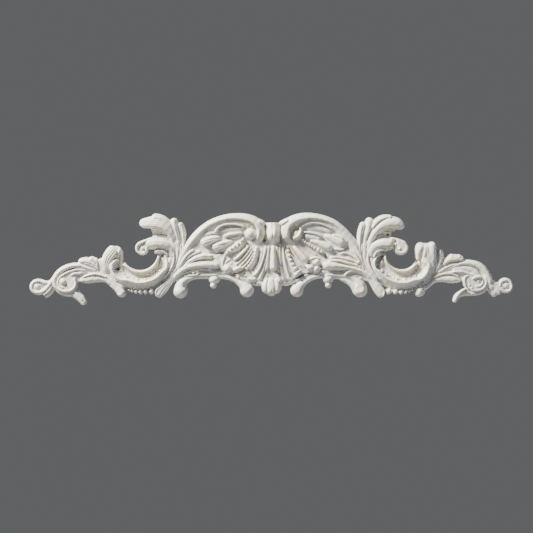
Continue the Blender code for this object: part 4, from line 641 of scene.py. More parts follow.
def c_scroll(carving):
    """The big C: a cove between two rims, with small beads in its bed, and a sloping flank outside."""
    eye = (131.6, 6.2)
    carving.ground([(148, -16), (149.4, -4), (150, 8), (156, 12), (164, 4), (168, -8), (164, -20),
                    (156, -24)], 6.6)
    carving.stroke(coil(eye, (-176, -36), (24.6, 25), (6.4, 6.6), (9, 9), count=10), scooped, tips=(0, 0))
    carving.stroke([(112.2, 3, 1.1, 8),
                    *coil(eye, (-162, -44), (19.4, 20.2), (1.2, 1.2), (10.6, 10.6), count=10),
                    (149, -6, 1.2, 9)])
    carving.stroke([(107.2, 3.4, 1.6, 9), (104.4, -3, 2, 10.6), (105.2, -10.4, 2.1, 11.4),
                    *coil(eye, (-140, -66), (30.4, 31), (2.1, 2.1), (12.6, 12.6), count=6),
                    (151.4, -21.6, 2.2, 12.4), (156.9, -16.9, 2.2, 12), (159.4, -11.5, 2.3, 12),
                    (158.6, -5.8, 2.4, 12)])
    carving.stroke(coil(eye, (-172, -24), (33.4, 34.6), (3.6, 3.8), (11, 11), count=10),
                   sloped(0.42 if carving.side > 0 else 0.34))
    carving.pearls(coil(eye, (-150, -44), (26.6, 27.4), (1.1, 1.4), (8.2, 7.8), count=8), 11)
    for turn, radius, size in ((-136, 27.4, 1.7), (-124, 27.6, 1.4), (-101, 28, 1.9), (-84, 28, 1.6),
                               (-60, 28.2, 1.7)):
        angle = math.radians(turn)
        carving.dome(eye[0] + radius * math.cos(angle), eye[1] + radius * math.sin(angle), size, 9)
    carving.crease(coil(eye, (-150, -50), (28.6, 29), (0.6, 0.6), (0.8, 0.8), count=10))
    carving.stroke([(98.6, 8, 1.1, 10), (97.6, 0, 1.3, 10), (99.4, -8, 1.4, 10), (104.4, -16, 1.3, 9),
                    (111, -22.6, 1, 8)])


def horn(carving):
    """The root of the horn at the outer end of the C, rolled over its inner edge."""
    carving.stroke([(150, -12, 2.6, 7), (151.4, -3, 3, 8), (152.4, 5, 3.6, 9), (153.4, 10, 3, 9.4)])
    carving.stroke([(152.4, -1, 1.8, 10), (157, -3.4, 2.3, 11.4), (160.4, -8.4, 2.4, 12),
                    (160, -13.4, 2, 11.4)])


def horn_left(carving):
    """The broad face of the left horn, with a turned inner edge and fine streaks."""
    face = [(164.4, -16, 2.4, 8), (165.6, -8, 4.4, 10), (163.6, 0, 6, 11.8), (158.8, 6.4, 6.6, 12.8),
            (155.4, 10.6, 4.9, 12.4)]
    carving.stroke(face, flat_topped, tips=(1, 0.5))
    for aside in (-0.72, -0.4, -0.05, 0.3):
        carving.crease(beside(face, aside, 0.16, 0.4))
    carving.stroke([(151.4, 10, 1.8, 11.6), (152.6, 5.6, 1.6, 11.4), (155, 0.6, 1.6, 10.6)])
    carving.stroke([(158.6, 11.6, 1.5, 12.4), (163, 8.6, 1.5, 12), (167, 4, 1.5, 11)])
    carving.stroke([(166.4, -17, 1.9, 7.5), (169.8, -8, 2.8, 8.6), (170.6, 0, 2.6, 9.4)], veined(2, 0.2))
    carving.dome(155.4, 1.4, 3.2, 10)
    carving.pit(154, -10.4, 4.2, 1.6)
    carving.pit(153.8, -11.2, 2.2, 3.6)


def horn_right(carving):
    """The right horn: a broad face with two soft lobes, and a small leaf beside it."""
    carving.stroke([(163.4, -16, 2.6, 8), (162.6, -7, 4.4, 10.4), (159.4, 1, 7, 12),
                    (155.4, 7.6, 9.6, 12.6), (154.4, 15, 9.2, 12.2)], crowned, tips=(1, 0.5))
    carving.stroke([(147, -3, 2.4, 9), (147, 3, 3.4, 10.6), (148.8, 9, 5, 13), (150.4, 15.9, 5, 12.6)],
                   crowned)
    carving.stroke([(162, -4, 3, 11), (161.4, 3, 4, 12.8), (160.8, 10, 4.8, 13.6),
                    (160.4, 16.5, 4.2, 12.8)], crowned)
    carving.stroke([(153, -1, 3, 11.2), (153.4, 6, 3.6, 13), (153.8, 14, 3.4, 12.8)])
    carving.crease([(157.2, 15.6, 0.9, 0.6), (157.2, 9, 1, 0.5), (157.6, 3, 0.9, 0.3)])
    carving.stroke([(165, -14, 1.8, 8), (168, -5, 3.4, 9.8), (168.8, 2.6, 3.9, 10.6),
                    (168.4, 9, 2.8, 10.2)], roofed)
    carving.crease([(168.4, 6, 0.7, 0.4), (168.8, 0, 0.8, 0.7), (167.4, -6, 0.8, 0.6)])
    carving.stroke([(149.4, -1.6, 1.8, 10), (153.4, -4.6, 2.6, 11.6), (156.6, -8.6, 2.2, 11)])
    carving.crease([(149.6, -29.4, 2, 0.8), (156.4, -24.6, 2.6, 2), (161.6, -17, 2.6, 2.6),
                    (163.4, -9, 2, 2.4), (163.2, -3, 1.4, 1)])


def crest_leaf(carving):
    """The stems and back lobes of the tall leaf over the C."""
    carving.ground([(104, -14), (112, -6), (108, 8), (119, 22), (112, 36), (98, 36), (88, 28), (86, 12),
                    (90, -8)], 7)
    carving.stroke([(91.6, 4, 1.8, 8), (93.4, 17, 2.8, 10), (95.8, 28, 3.8, 11.4),
                    (98.6, 40.2, 4.6, 11.4)], roofed)
    carving.stroke([(89, 4, 1.6, 8), (88, 15, 2.4, 9.5), (88.8, 25, 3.1, 10.4), (92, 35.8, 3.2, 10.4)],
                   roofed)
    carving.crease([(91, 33, 0.9, 1.2), (89.6, 25, 0.9, 1.2), (89.6, 14, 0.8, 0.9)])
    carving.crease([(99, 40, 0.8, 0.7), (96, 30, 0.8, 0.8), (93.6, 18, 0.8, 0.8)])
    carving.stroke([(95.4, 18, 2.2, 9.5), (93.8, 6, 2.4, 9), (95.6, -4, 2.4, 8.5), (100.4, -13, 2.4, 8),
                    (108.4, -21, 2, 7)])
    carving.stroke([(90.6, 15, 1.6, 9), (90.8, 4, 1.8, 8.5), (93.6, -6, 1.8, 8.2), (99, -15, 1.8, 7.6)])
    carving.stroke([(87.6, 12, 0.9, 9.4), (90, 2, 1, 9.4), (93.4, -7, 1.1, 9), (98.4, -15, 1, 8.4)])
    carving.stroke([(120.2, 26.4, 2.4, 8), (112.4, 27.4, 3.2, 8.6), (104.4, 22.4, 2.8, 8.6)])
    carving.crease([(104, 23, 0.9, 1.2), (108.6, 24, 1.2, 2.2), (113, 23.6, 1, 1.2)])


def crest_leaf_left(carving):
    """The left crest leaf: one broad blade with fine streaks that turns over at its tip."""
    blade = [(95.6, 5, 2.2, 8.5), (97, 15, 3.4, 10), (99.8, 24.4, 5, 12.4), (105.4, 32, 6.8, 14.4),
             (113.4, 35.8, 7.4, 15.4), (121.4, 35.6, 6, 15.2), (127.4, 35, 5, 14.4),
             (132.4, 34.4, 4.4, 13.4)]
    carving.stroke(blade, sloped(-0.1))
    carving.stroke([(102, 33, 4, 12.4), (108.4, 38, 4.4, 13.4), (114.4, 40.4, 4.2, 13.8),
                    (120.2, 41, 3.4, 13.4)])
    carving.stroke([(121.4, 30.2, 1.1, 10), (117, 29.2, 1.3, 11.6), (112.4, 28.6, 1.2, 11.4),
                    (106, 26, 1, 11)])
    for aside in (-0.7, -0.42, -0.14, 0.16, 0.46, 0.74):
        carving.crease(beside(blade[1:7], aside, 0.11, 0.25))
    carving.crease([(101.4, 39, 0.8, 0.7), (100, 33, 0.8, 0.7), (97.4, 24, 0.8, 0.7)])


def crest_leaf_right(carving):
    """The right crest leaf: a smooth wing with one deep crease and a curled under-edge."""
    wing = [(96, 5, 2.2, 8.5), (98, 14, 3.2, 10), (102, 23.4, 4.4, 12), (108.6, 31, 5.4, 13.8),
            (117, 35, 6.8, 15), (124.4, 34.8, 6.4, 14.8), (129, 32.8, 5, 13.8), (132.8, 30.2, 3.6, 12.6)]
    carving.stroke(wing, crowned)
    carving.stroke([(100, 29, 2.6, 12), (105, 36, 3.4, 13.4), (112, 40, 3.6, 14), (121.4, 40.4, 3, 13.8)])
    carving.crease([(119.6, 41.6, 0.7, 0.5), (114, 39.4, 0.9, 1.2), (108, 36, 1, 1.6),
                    (102, 29.4, 1, 1.6), (98.6, 21, 0.9, 1.2)])
    carving.stroke([(98.4, 10, 1, 9.4), (101, 18, 1.2, 10.6), (106, 25, 1.4, 11.4),
                    (113, 28.2, 1.3, 11.4), (120.4, 28, 1.3, 11)])
    carving.dome(122.2, 28.4, 1.8, 10.6)
    carving.stroke([(120, 24, 1.6, 9), (116, 26, 1.6, 10), (111.4, 25.4, 1.3, 10)])
    carving.pit(116.2, 23.4, 1.7, 6)
    carving.crease([(101, 15.6, 0.9, 1.2), (106, 22.4, 0.9, 1.6), (112, 25.6, 0.8, 1.4)])


def curled_leaf_left(carving):
    """The left middle leaf, which ends in a small volute over the mouth of the C."""
    eye = (129.4, 9.6)
    body = [(98.4, 0, 2.4, 9), (100.6, 8.4, 4.2, 10.6), (107, 13.8, 6, 13), (115.4, 15, 6.6, 14),
            (122.4, 14.2, 5.8, 13), (127, 12.6, 4.4, 11.6)]
    carving.stroke(body, crowned)
    for aside in (-0.5, 0.1, 0.55):
        carving.crease(beside(body[1:5], aside, 0.14, 0.25))
    carving.ground([(123.4, 9.6), (125, 14), (129.4, 15.8), (134, 14), (135.4, 9.6), (134, 5.4),
                    (129.4, 3.6), (125, 5.2)], 9.8)
    curl = coil(eye, (78, -215), (5.8, 4.5), (1.9, 1.8), (11.8, 11), ease=1.2, count=10)
    carving.stroke([(112.4, 21.2, 1.2, 10.5), (118.4, 20.2, 1.4, 11.4), (124.6, 17.8, 1.6, 11.8), *curl])
    carving.dome(128.7, 9.6, 3, 12)
    carving.crease([(126, 13.8, 0.9, 0.6), (129.6, 13.4, 1, 0.9), (132, 10.4, 1, 0.9),
                    (131.4, 7, 0.8, 0.6)])
    carving.stroke([(117.4, 5.4, 1.7, 10), (113, 7.2, 2.3, 11), (107.6, 6.4, 2.4, 10.8),
                    (103.4, 2.4, 2, 9.8)])
    carving.crease([(109, 1.6, 1, 1.4), (113.4, 1.8, 0.8, 0.8)])


def curled_leaf_right(carving):
    """The right middle leaf: a fat rounded lobe, and a flat volute behind it."""
    eye = (129.2, 10.4)
    body = [(98.4, 0, 2.4, 9), (100.4, 8, 4, 10.8), (105.4, 13, 5.4, 13), (112, 14.4, 5.9, 14.2),
            (118.6, 13.8, 6.2, 14), (124, 13, 5.6, 13)]
    carving.stroke(body, crowned)
    for aside in (-0.45, 0.1, 0.55):
        carving.crease(beside(body[1:5], aside, 0.14, 0.25))
    carving.ground([(122.6, 10), (124, 15.4), (129.2, 17.6), (134.4, 15), (136, 10), (134, 5),
                    (129.2, 3.4), (124.4, 5)], 11)
    curl = coil(eye, (62, -190), (5.8, 5.2), (2.3, 2), (11.8, 11.6), ease=1, count=10)
    carving.stroke([(118, 20.2, 1.4, 9.6), (124.4, 18.8, 1.8, 10.8), *curl])
    carving.dome(127.8, 9.2, 3, 12.4)
    carving.crease([(123.8, 17.4, 0.9, 0.4), (125.2, 13.4, 1, 0.6), (124.6, 9, 0.9, 0.5)])
    carving.stroke([(116, 7.4, 1.6, 10.4), (110, 8.4, 2, 11.6), (104.6, 5.6, 2, 11),
                    (101.8, 0, 1.7, 10.4)])
    carving.crease([(112, 1.4, 1.8, 2.4), (108.4, -0.4, 3.2, 6.4), (105.8, -5, 3.2, 4.6),
                    (106.4, -10, 2.4, 2)])


def feet_of_c(carving):
    """The pointed foot, the row of pearls and the round foot under the C."""
    carving.stroke([(97, -18, 2.4, 8), (102.8, -24, 3.8, 8.2), (108.6, -30, 5.2, 8.6),
                    (112, -35, 4.6, 8.4), (113, -40, 2.6, 8)], flat_topped)
    carving.stroke([(105.6, -24.6, 1.1, 9), (112, -29.6, 1.2, 9.2), (115.6, -33.4, 1.2, 9.2),
                    (114.8, -39, 1, 8.8)])
    carving.crease([(104, -27.4, 1, 0.4), (109, -33, 1.2, 0.5), (112, -38, 1, 0.3)])
    carving.stroke([(97.4, -11, 2.4, 8), (102.4, -19, 2.6, 8.2), (108.4, -25.4, 2.4, 7.8)])
    carving.stroke([(117, -32, 1.3, 4), (130, -33, 1.3, 4), (144, -31.4, 1.2, 4)])
    for out, up, radius in ((120.4, -33.4, 3.2), (126.3, -33.8, 2.8), (131.4, -34, 2.5),
                            (135.9, -33.8, 2.1), (139.8, -33, 1.7), (143, -32, 1.35)):
        carving.dome(out, up, radius, radius + 6, stretch=0.82)
    carving.stroke([(172.4, -16, 2.2, 7), (165.8, -21.4, 2.8, 7), (159.4, -27, 3, 7.4),
                    (154, -31.4, 3.6, 8), (150.6, -35, 4.6, 9), (149.4, -39.6, 3.6, 8.8)])
    carving.stroke([(171.4, -9, 2, 7), (165.4, -18, 2.8, 7.4), (157.4, -25.4, 2.8, 7.2),
                    (147.4, -30.6, 2.4, 6.4)])
    carving.crease([(162, -26.4, 0.8, 0.8), (155, -31, 0.9, 0.9), (152, -36, 0.8, 0.5)])


def foot_of_c_right(carving):
    """The fat round end of the outer foot under the right C."""
    carving.dome(148.8, -33.4, 5.3, 9.6)
    carving.crease([(153, -30, 0.9, 0.4), (151.8, -34, 1, 0.5), (149, -37, 0.8, 0.3)])


def tail_leaves(carving):
    """The long leaf under the tail, between the C and the swan-necked scroll."""
    carving.ground([(160, -24), (166, -4), (176, -2), (192, -6), (206, -14), (200, -24), (184, -22),
                    (172, -20)], 6.6)
    carving.stroke([(158.4, -26.4, 2.2, 6.5), (166.4, -22.2, 2.6, 7), (174.4, -20.6, 3.8, 8),
                    (183.4, -21.4, 4.2, 8.6), (192.4, -22.4, 2.6, 8)], crowned)
    carving.stroke([(164.4, -19.4, 1.1, 8), (173.4, -16.4, 1.3, 9), (180.4, -16.4, 1.4, 9.4),
                    (189.6, -19.6, 1.2, 9)])
    carving.crease([(166, -21.4, 0.8, 0.8), (174, -18.6, 0.8, 1), (182, -18.6, 0.8, 0.9),
                    (190, -21.4, 0.7, 0.6)])
    carving.crease([(172, -23, 0.8, 0.6), (181, -23.4, 0.8, 0.6)])


def tail_leaf_left(carving):
    """The upper leaf of the left tail, with a turned inner edge."""
    carving.stroke([(174.4, -9.6, 1.4, 8.6), (174.8, -4, 1.6, 9.6), (176.4, 0.2, 1.6, 9.8)])
    carving.stroke([(172.4, -12, 2, 8), (178.4, -6.6, 4, 9.4), (184.4, -3.8, 4.6, 10),
                    (189.4, -3.4, 3.8, 9.8), (193.6, -4.4, 2.4, 9)], crowned)
    carving.stroke([(175.4, -6, 2, 9), (179, -1.6, 3, 10), (183, -0.8, 2.6, 10)])
    carving.crease([(177, -8.4, 0.8, 0.9), (183, -5.2, 0.8, 0.8), (190, -4.6, 0.7, 0.5)])


def tail_leaf_right(carving):
    """The upper leaf of the right tail: a lumpy lobe over a deep cove."""
    carving.stroke([(171.4, -8, 1.8, 8.4), (175.6, -3, 3.4, 10), (181, -0.8, 4.4, 11),
                    (187.4, -0.8, 4.2, 10.8), (193, -1.6, 2.6, 10)], crowned)
    carving.dome(180.4, 1, 3.2, 11.2)
    carving.dome(187.6, 0.8, 3, 11)
    carving.stroke([(166.4, -14.4, 1.4, 8.4), (174.4, -9.6, 1.8, 9), (182.4, -6.4, 2, 9.2),
                    (190, -5.2, 1.9, 9.2)])
    carving.crease([(172, -7.6, 1, 0.8), (178, -4.6, 1.4, 1.4), (184, -3.8, 1.5, 1.6),
                    (191, -3.6, 1.2, 1.2)])


def swan_floor(carving):
    """The low plate of the swan-necked scroll, and its plain underside."""
    carving.dome(207.4, -24.4, 12.4, 7.6)
    carving.ground([(196, -19), (204, -16), (212, -19), (214.6, -26), (209, -31.6), (200, -31.6),
                    (195.6, -26)], 8.6)
    carving.stroke([(217, -27, 1.6, 6.5), (213.4, -33.4, 2, 7), (207.4, -36, 2.4, 7),
                    (199.4, -36, 3, 6.8)])


def swan_scroll_left(carving):
    """The left round scroll: a fat eye in two rings, and the strings that feed it."""
    carving.stroke([(174.4, -12.8, 1.8, 7.6), (182.4, -10.4, 2.4, 8.8), (190.4, -8, 2.9, 9.8),
                    (198.4, -7.8, 3, 10.6), (206.4, -10.2, 3.2, 10.8), (212.8, -14.8, 3.4, 10.4),
                    (217, -21.2, 3.2, 10), (216.6, -27.4, 2.6, 9.6), (212.4, -31.8, 2.2, 9.6),
                    (206, -33.4, 2.1, 9.6), (199.6, -31.8, 2.1, 9.8), (196.2, -27.4, 2, 9.8),
                    (196.4, -22.8, 1.7, 9.4), (199, -20, 1.4, 9)])
    carving.crease([(184, -9, 0.8, 0.4), (196, -8.4, 0.9, 0.4), (205.4, -11.4, 0.9, 0.5),
                    (212, -16.4, 0.9, 0.5), (214.8, -22, 0.8, 0.4)])
    carving.stroke([(186, -12.4, 1.4, 9), (193.4, -11.6, 1.7, 9.6), (200.4, -13, 1.8, 10),
                    (207, -16, 1.9, 10.2), (212, -19.6, 1.8, 10.2), (213.6, -24.4, 1.5, 9.8),
                    (211, -28.8, 1.4, 9.6), (206, -30, 1.3, 9.2)])
    carving.stroke([(189, -15.4, 1.5, 8.8), (196, -15.6, 1.8, 9.4), (201.6, -17.8, 1.7, 9.8)])
    carving.stroke([(184, -12.6, 2.4, 8.4), (194, -13.6, 3, 8.8), (203, -15.4, 3, 9), (210, -22, 3, 9)],
                   flat_topped)
    carving.crease([(197, -10, 1, 0.8), (203, -12.2, 1.1, 1), (208.4, -15.4, 0.9, 0.8)])
    carving.crease([(190, -13.4, 1, 0.8), (197, -13.6, 1, 1), (202.6, -16, 0.9, 0.8)])
    carving.dome(208.6, -23.6, 5, 11.4)
    carving.dome(201.6, -25, 4.4, 8.6)
    carving.crease([(206, -21, 0.9, 0.4), (205, -25, 0.9, 0.6), (208.4, -27.6, 0.8, 0.4)])


def swan_scroll_right(carving):
    """The right round scroll: a broad plain band, an eye under a bright lid, and an ear loop."""
    carving.stroke([(172.4, -12.8, 1.6, 7.6), (181.4, -8.6, 2.2, 8.8), (191.4, -5, 2.9, 10),
                    (199.4, -5.2, 3.4, 10.8), (207.4, -7.8, 3.9, 11), (213.8, -13.4, 4.1, 10.8),
                    (217.8, -20.6, 3.7, 10.2), (218.6, -27.4, 2.8, 9.2)], crowned)
    carving.stroke([(180, -12.6, 2.4, 8.8), (191, -10.4, 3, 9), (201, -12, 3.4, 9), (208, -18, 3.4, 9)],
                   flat_topped)
    carving.stroke([(172, -16.4, 1.3, 8.4), (179.4, -14.6, 1.5, 9.4), (188.4, -13.4, 1.7, 10),
                    (196.4, -15.2, 1.7, 10), (201.4, -18.2, 1.6, 10)])
    carving.stroke([(213, -16.6, 1.4, 9.4), (214.6, -22.4, 1.6, 9.8), (213.4, -28, 1.6, 9.8),
                    (209, -31.6, 1.5, 9.6), (203, -32.6, 1.5, 9.4), (198.6, -31, 1.4, 9.2)])
    carving.stroke([(210.6, -20, 1.2, 9.6), (211, -24.6, 1.3, 9.8), (208, -28, 1.3, 9.8),
                    (203, -28.4, 1.3, 9.6)])
    carving.dome(207, -23.4, 4.2, 9.8)
    carving.stroke([(200.6, -22.4, 1.5, 10.4), (202.6, -19.8, 1.9, 11.2), (207, -18.9, 1.9, 11.2),
                    (210.6, -20.2, 1.4, 10.2)])
    carving.stroke([(198.4, -17.8, 1.4, 9.4), (194.4, -18.4, 1.7, 9.8), (192.8, -21.8, 1.8, 10),
                    (193.4, -26, 1.8, 9.8), (195, -29.4, 1.5, 9.4)])
    carving.stroke([(198, -21, 1.6, 9), (197.4, -24, 1.7, 9.2), (199, -28, 1.6, 9)])
    carving.dome(196.6, -30, 3, 8.4)


def spur_left(carving):
    """The blunt spur below the left swan-necked scroll."""
    carving.stroke([(203, -31.6, 5.4, 7), (196.6, -35.8, 5, 7.6), (191.2, -40.4, 4.3, 7.8),
                    (186.6, -46.6, 3.2, 7.4)], crowned, tips=(1, 0.6))
    carving.stroke([(198, -33, 1.3, 8.4), (193, -37.6, 1.5, 8.8), (188.4, -43.4, 1.2, 8.4)])


def spur_right(carving):
    """The slender curved spur below the right swan-necked scroll, and two beads beside its ear."""
    carving.stroke([(205, -33, 4, 6.4), (197, -34.6, 3.6, 7), (190.4, -35.6, 3.1, 8),
                    (185.6, -39, 2.8, 8), (183, -44.8, 2, 7.4)])
    carving.stroke([(194.4, -30.6, 1.1, 9), (188.4, -34.6, 1.3, 9.4), (184.4, -40, 1.1, 8.8)])
    carving.dome(197.8, -27, 1.9, 10)
    carving.dome(200.2, -29.8, 1.7, 10)


def end_scroll(carving):
    """The strands that join the swan-necked scroll to the little volute at the tip."""
    carving.dome(234.4, -28.4, 6.4, 5)
    carving.ground([(229, -25), (234, -23), (239, -26), (239.6, -31), (235, -34), (230, -33)], 6.9)
    carving.stroke([(217.4, -21.6, 2, 6), (224.4, -26.4, 3, 6.4), (231.4, -28, 3, 6)])


def end_scroll_left(carving):
    """The left volute: a smooth comma over a hooked strand."""
    eye = (234.8, -28.6)
    carving.stroke([(216.4, -17.4, 2, 8), (220.6, -24.6, 2.6, 8.6), (226, -31.6, 2.8, 8.6),
                    (231.6, -34.4, 2.7, 8.6), (237.4, -34, 2.4, 8.6), (240.2, -29.4, 2.3, 8.8),
                    (238.2, -24.4, 2.2, 8.8), (233, -23, 2.1, 8.6), (227.4, -24.6, 2, 8.2),
                    (222.4, -25, 1.8, 7.6)])
    carving.dome(*eye, 4.8, 8.8)
    carving.crease([(229.4, -26.6, 1, 0.6), (231, -30, 1.1, 0.8), (234.4, -31.8, 1, 0.7),
                    (237, -29.8, 0.8, 0.3)])
    carving.stroke([(217.6, -28.4, 2, 6.4), (222, -34.4, 2.6, 6.8), (227.4, -39, 2.2, 6.4)])
    carving.stroke([(218.8, -27, 1.3, 7.8), (223.8, -33.8, 1.6, 8.2), (229, -37.2, 1.5, 7.8)])


def end_scroll_right(carving):
    """The right volute: a plain ring round a shallow eye with a little hole."""
    eye = (234.4, -27.8)
    carving.stroke([(217.4, -20.6, 2.2, 8), (220.8, -27.4, 2.8, 8.2), (225, -33.6, 3, 8.2),
                    (230, -35.2, 2.4, 8.2)])
    carving.stroke([(216.6, -22, 2.6, 8.6), (219, -27.4, 3, 8.8), (221.4, -32, 2.4, 8.4)], crowned)
    carving.ground([(219, -24), (223, -24.8), (228, -24), (232, -26), (232, -31), (227, -33), (222, -31)],
                   8)
    carving.stroke(coil(eye, (200, -170), (5.9, 5.7), (2.2, 2), (8.8, 8.6), ease=1, count=12))
    carving.dome(*eye, 4.4, 8.8)
    carving.pit(234, -31.2, 1, 0.8)
    carving.stroke([(217.6, -29.4, 2, 6.4), (221, -34.4, 2.8, 7), (225, -38.4, 2.4, 6.8)])
    carving.crease([(222.4, -30.4, 0.9, 0.4), (226.4, -36, 0.8, 0.4)])


# The forms that both halves share, and those that only one half has
SHARED = (crest_scroll, shell_ground, spray, festoon, c_scroll, horn, crest_leaf, feet_of_c,
          tail_leaves, swan_floor, end_scroll)
LEFT_ONLY = (scroll_eye_left, shell_wing_left, shell_fan_left, shell_tip_left, spray_left, feet_left,
             crest_leaf_left, curled_leaf_left, horn_left, tail_leaf_left, swan_scroll_left, spur_left,
             end_scroll_left)
RIGHT_ONLY = (scroll_eye_right, shell_wing_right, shell_fan_right, shell_tip_right, spray_right,
              feet_right, crest_leaf_right, curled_leaf_right, horn_right, foot_of_c_right,
              tail_leaf_right, swan_scroll_right, spur_right, end_scroll_right)


def all_carvings():
    """The two halves and the middle, each drawn on its own side."""
    carvings = []
    for side, own_forms in ((-1, LEFT_ONLY), (1, RIGHT_ONLY)):
        carving = Carving(side)
        for form in SHARED:
            form(carving)
        own = Carving(side, mirrored=False)
        for form in own_forms:
            form(own)
        carvings += [carving, own]
    middle = Carving(0)
    knot(middle)
    shell_middle(middle)
    return carvings + [middle]


def plain_mesh(name, points, faces):
    """A mesh straight from its points and faces."""
    mesh = bpy.data.meshes.new(name)
    mesh.from_pydata(points, [], faces)
    return mesh


def linked(name, data):
    """An object in the scene that shows the given mesh, light or camera."""
    placed = bpy.data.objects.new(name, data)
    bpy.context.scene.collection.objects.link(placed)
    return placed


def bake(subject):
    """Turn the object's modifiers into its own mesh."""
    seen = subject.evaluated_get(bpy.context.evaluated_depsgraph_get())
    mesh = bpy.data.meshes.new_from_object(seen)
    subject.modifiers.clear()
    subject.data = mesh
    return mesh


def coords_of(mesh):
    """The mesh's points, a row for each."""
    flat = np.empty(len(mesh.vertices) * 3)
    mesh.vertices.foreach_get("co", flat)
    return flat.reshape(-1, 3)


def set_coords(mesh, points):
    """Move the mesh's points to the given rows."""
    mesh.vertices.foreach_set("co", points.ravel())
    mesh.update()


def cut_into(points, cuts):
    """Sink the front of the skin along each cut, by its depth on its line and nothing at its edge."""
    for cut in cuts:
        reach = cut[:, 2].max()
        low, high = cut[:, :2].min(0) - reach, cut[:, :2].max(0) + reach
        near = np.flatnonzero(
            (points[:, 1] < 0) & (points[:, 0] > low[0]) & (points[:, 0] < high[0])
            & (points[:, 2] > low[1]) & (points[:, 2] < high[1])
        )
        for start in range(0, len(near), BATCH):
            part = near[start:start + BATCH]
            height = points[part, 1]
            apart = np.hypot(points[part, 0, None] - cut[:, 0], points[part, 2, None] - cut[:, 1])
            sunk = ((1 - np.clip(apart / cut[:, 2], 0, 1) ** 2) ** 2 * cut[:, 3]).max(1)
            limit = np.minimum(-LEFT_STANDING, height * SHARE_STANDING)
            points[part, 1] = np.minimum(height + sunk, limit)


def hand_modelled(points):
    """The slight waviness of a pattern cut by hand: a few slow waves along and across the front."""
    x, z = points[:, 0], points[:, 2]
    wave = np.zeros(len(points))
    for across, up, turn, height in WAVES:
        wave += height * np.sin(2 * math.pi * (x / across + z / up) + turn)
    front = np.clip(-points[:, 1] / WAVE_RISE, 0, 1)
    points[:, 1] += wave * front


def blurred(grid, reach):
    """The grid's running mean over a square of this many cells to each side."""
    for axis in (0, 1):
        padded = np.pad(grid, [(reach + 1, reach) if k == axis else (0, 0) for k in (0, 1)])
        summed = np.cumsum(padded, axis=axis)
        size = grid.shape[axis]
        ahead = np.take(summed, np.arange(2 * reach + 1, 2 * reach + 1 + size), axis=axis)
        behind = np.take(summed, np.arange(size), axis=axis)
        grid = (ahead - behind) / (2 * reach + 1)
    return grid


def above_neighbours(points, reach):
    """How far each point stands above the mean of the front around it, in mm, and how much of what is
    around it, from 0 to 1, is front. The wall beside the casting isn't counted."""
    place = (points[:, [0, 2]] - points.min(0)[[0, 2]]) / CELL + 1
    shape = tuple(place.max(0).astype(int) + 3)
    front = points[:, 1] < -LIP
    at = np.round(place[front]).astype(int)
    flat = at[:, 0] * shape[1] + at[:, 1]
    cells = shape[0] * shape[1]
    count = np.bincount(flat, minlength=cells).reshape(shape)
    height = np.bincount(flat, -points[front, 1], cells).reshape(shape) / np.maximum(count, 1)
    cover = (count > 0).astype(float)
    for turn in range(2):
        height = blurred(height, round(reach / CELL))
        cover = blurred(cover, round(reach / CELL))
    height /= np.maximum(cover, 1e-3)
    corner = np.floor(place).astype(int)
    share = place - corner
    mean, covered = np.zeros(len(points)), np.zeros(len(points))
    for i in (0, 1):
        for k in (0, 1):
            weight = np.abs(1 - i - share[:, 0]) * np.abs(1 - k - share[:, 1])
            mean += weight * height[corner[:, 0] + i, corner[:, 1] + k]
            covered += weight * cover[corner[:, 0] + i, corner[:, 1] + k]
    return -points[:, 1] - mean, covered


def well_inside(points, covered):
    """A weight that is 0 by the outline and on the upright edge, and 1 in from them."""
    away = np.clip((covered - EDGE_COVER) / COVER_SPAN, 0, 1)
    return away * np.clip((-points[:, 1] - LIP) / EDGE_RISE, 0, 1)


def partly_filled(points):
    """Raise what lies in a narrow gap, away from the outline, as softened mould corners do."""
    rise, covered = above_neighbours(points, GAP_REACH)
    points[:, 1] -= FILLING * np.clip(-rise, 0, DEEPEST_GAP) * well_inside(points, covered)


def mark_relief(mesh, points):
    """Write to each point how deep it lies in a hollow and how high on a crest, from 0 to 1."""
    fine, covered = above_neighbours(points, FINE_REACH)
    broad = above_neighbours(points, BROAD_REACH)[0]
    rise = 0.6 * fine + 0.4 * broad
    inside = well_inside(points, covered)
    # the hollow value is what the material uses to paint shade into the recesses
    for name, value in (("hollow", -rise / FULL_MARK * inside), ("crest", rise / FULL_MARK)):
        layer = mesh.attributes.new(name, "FLOAT", "POINT")
        layer.data.foreach_set("value", np.clip(value, 0, 1).astype(np.float32))


def fitted(points):
    """The drawing in metres, drawn in where it would leave the box of the solid."""
    points = points / 1000
    low, high = points.min(0), points.max(0)
    inner_low = np.maximum(np.array(LOW) + INSET, low)
    inner_high = np.minimum(np.array(HIGH) - INSET, high)
    inner_high[1] = 0.0
    return inner_low + (points - low) * (inner_high - inner_low) / (high - low)


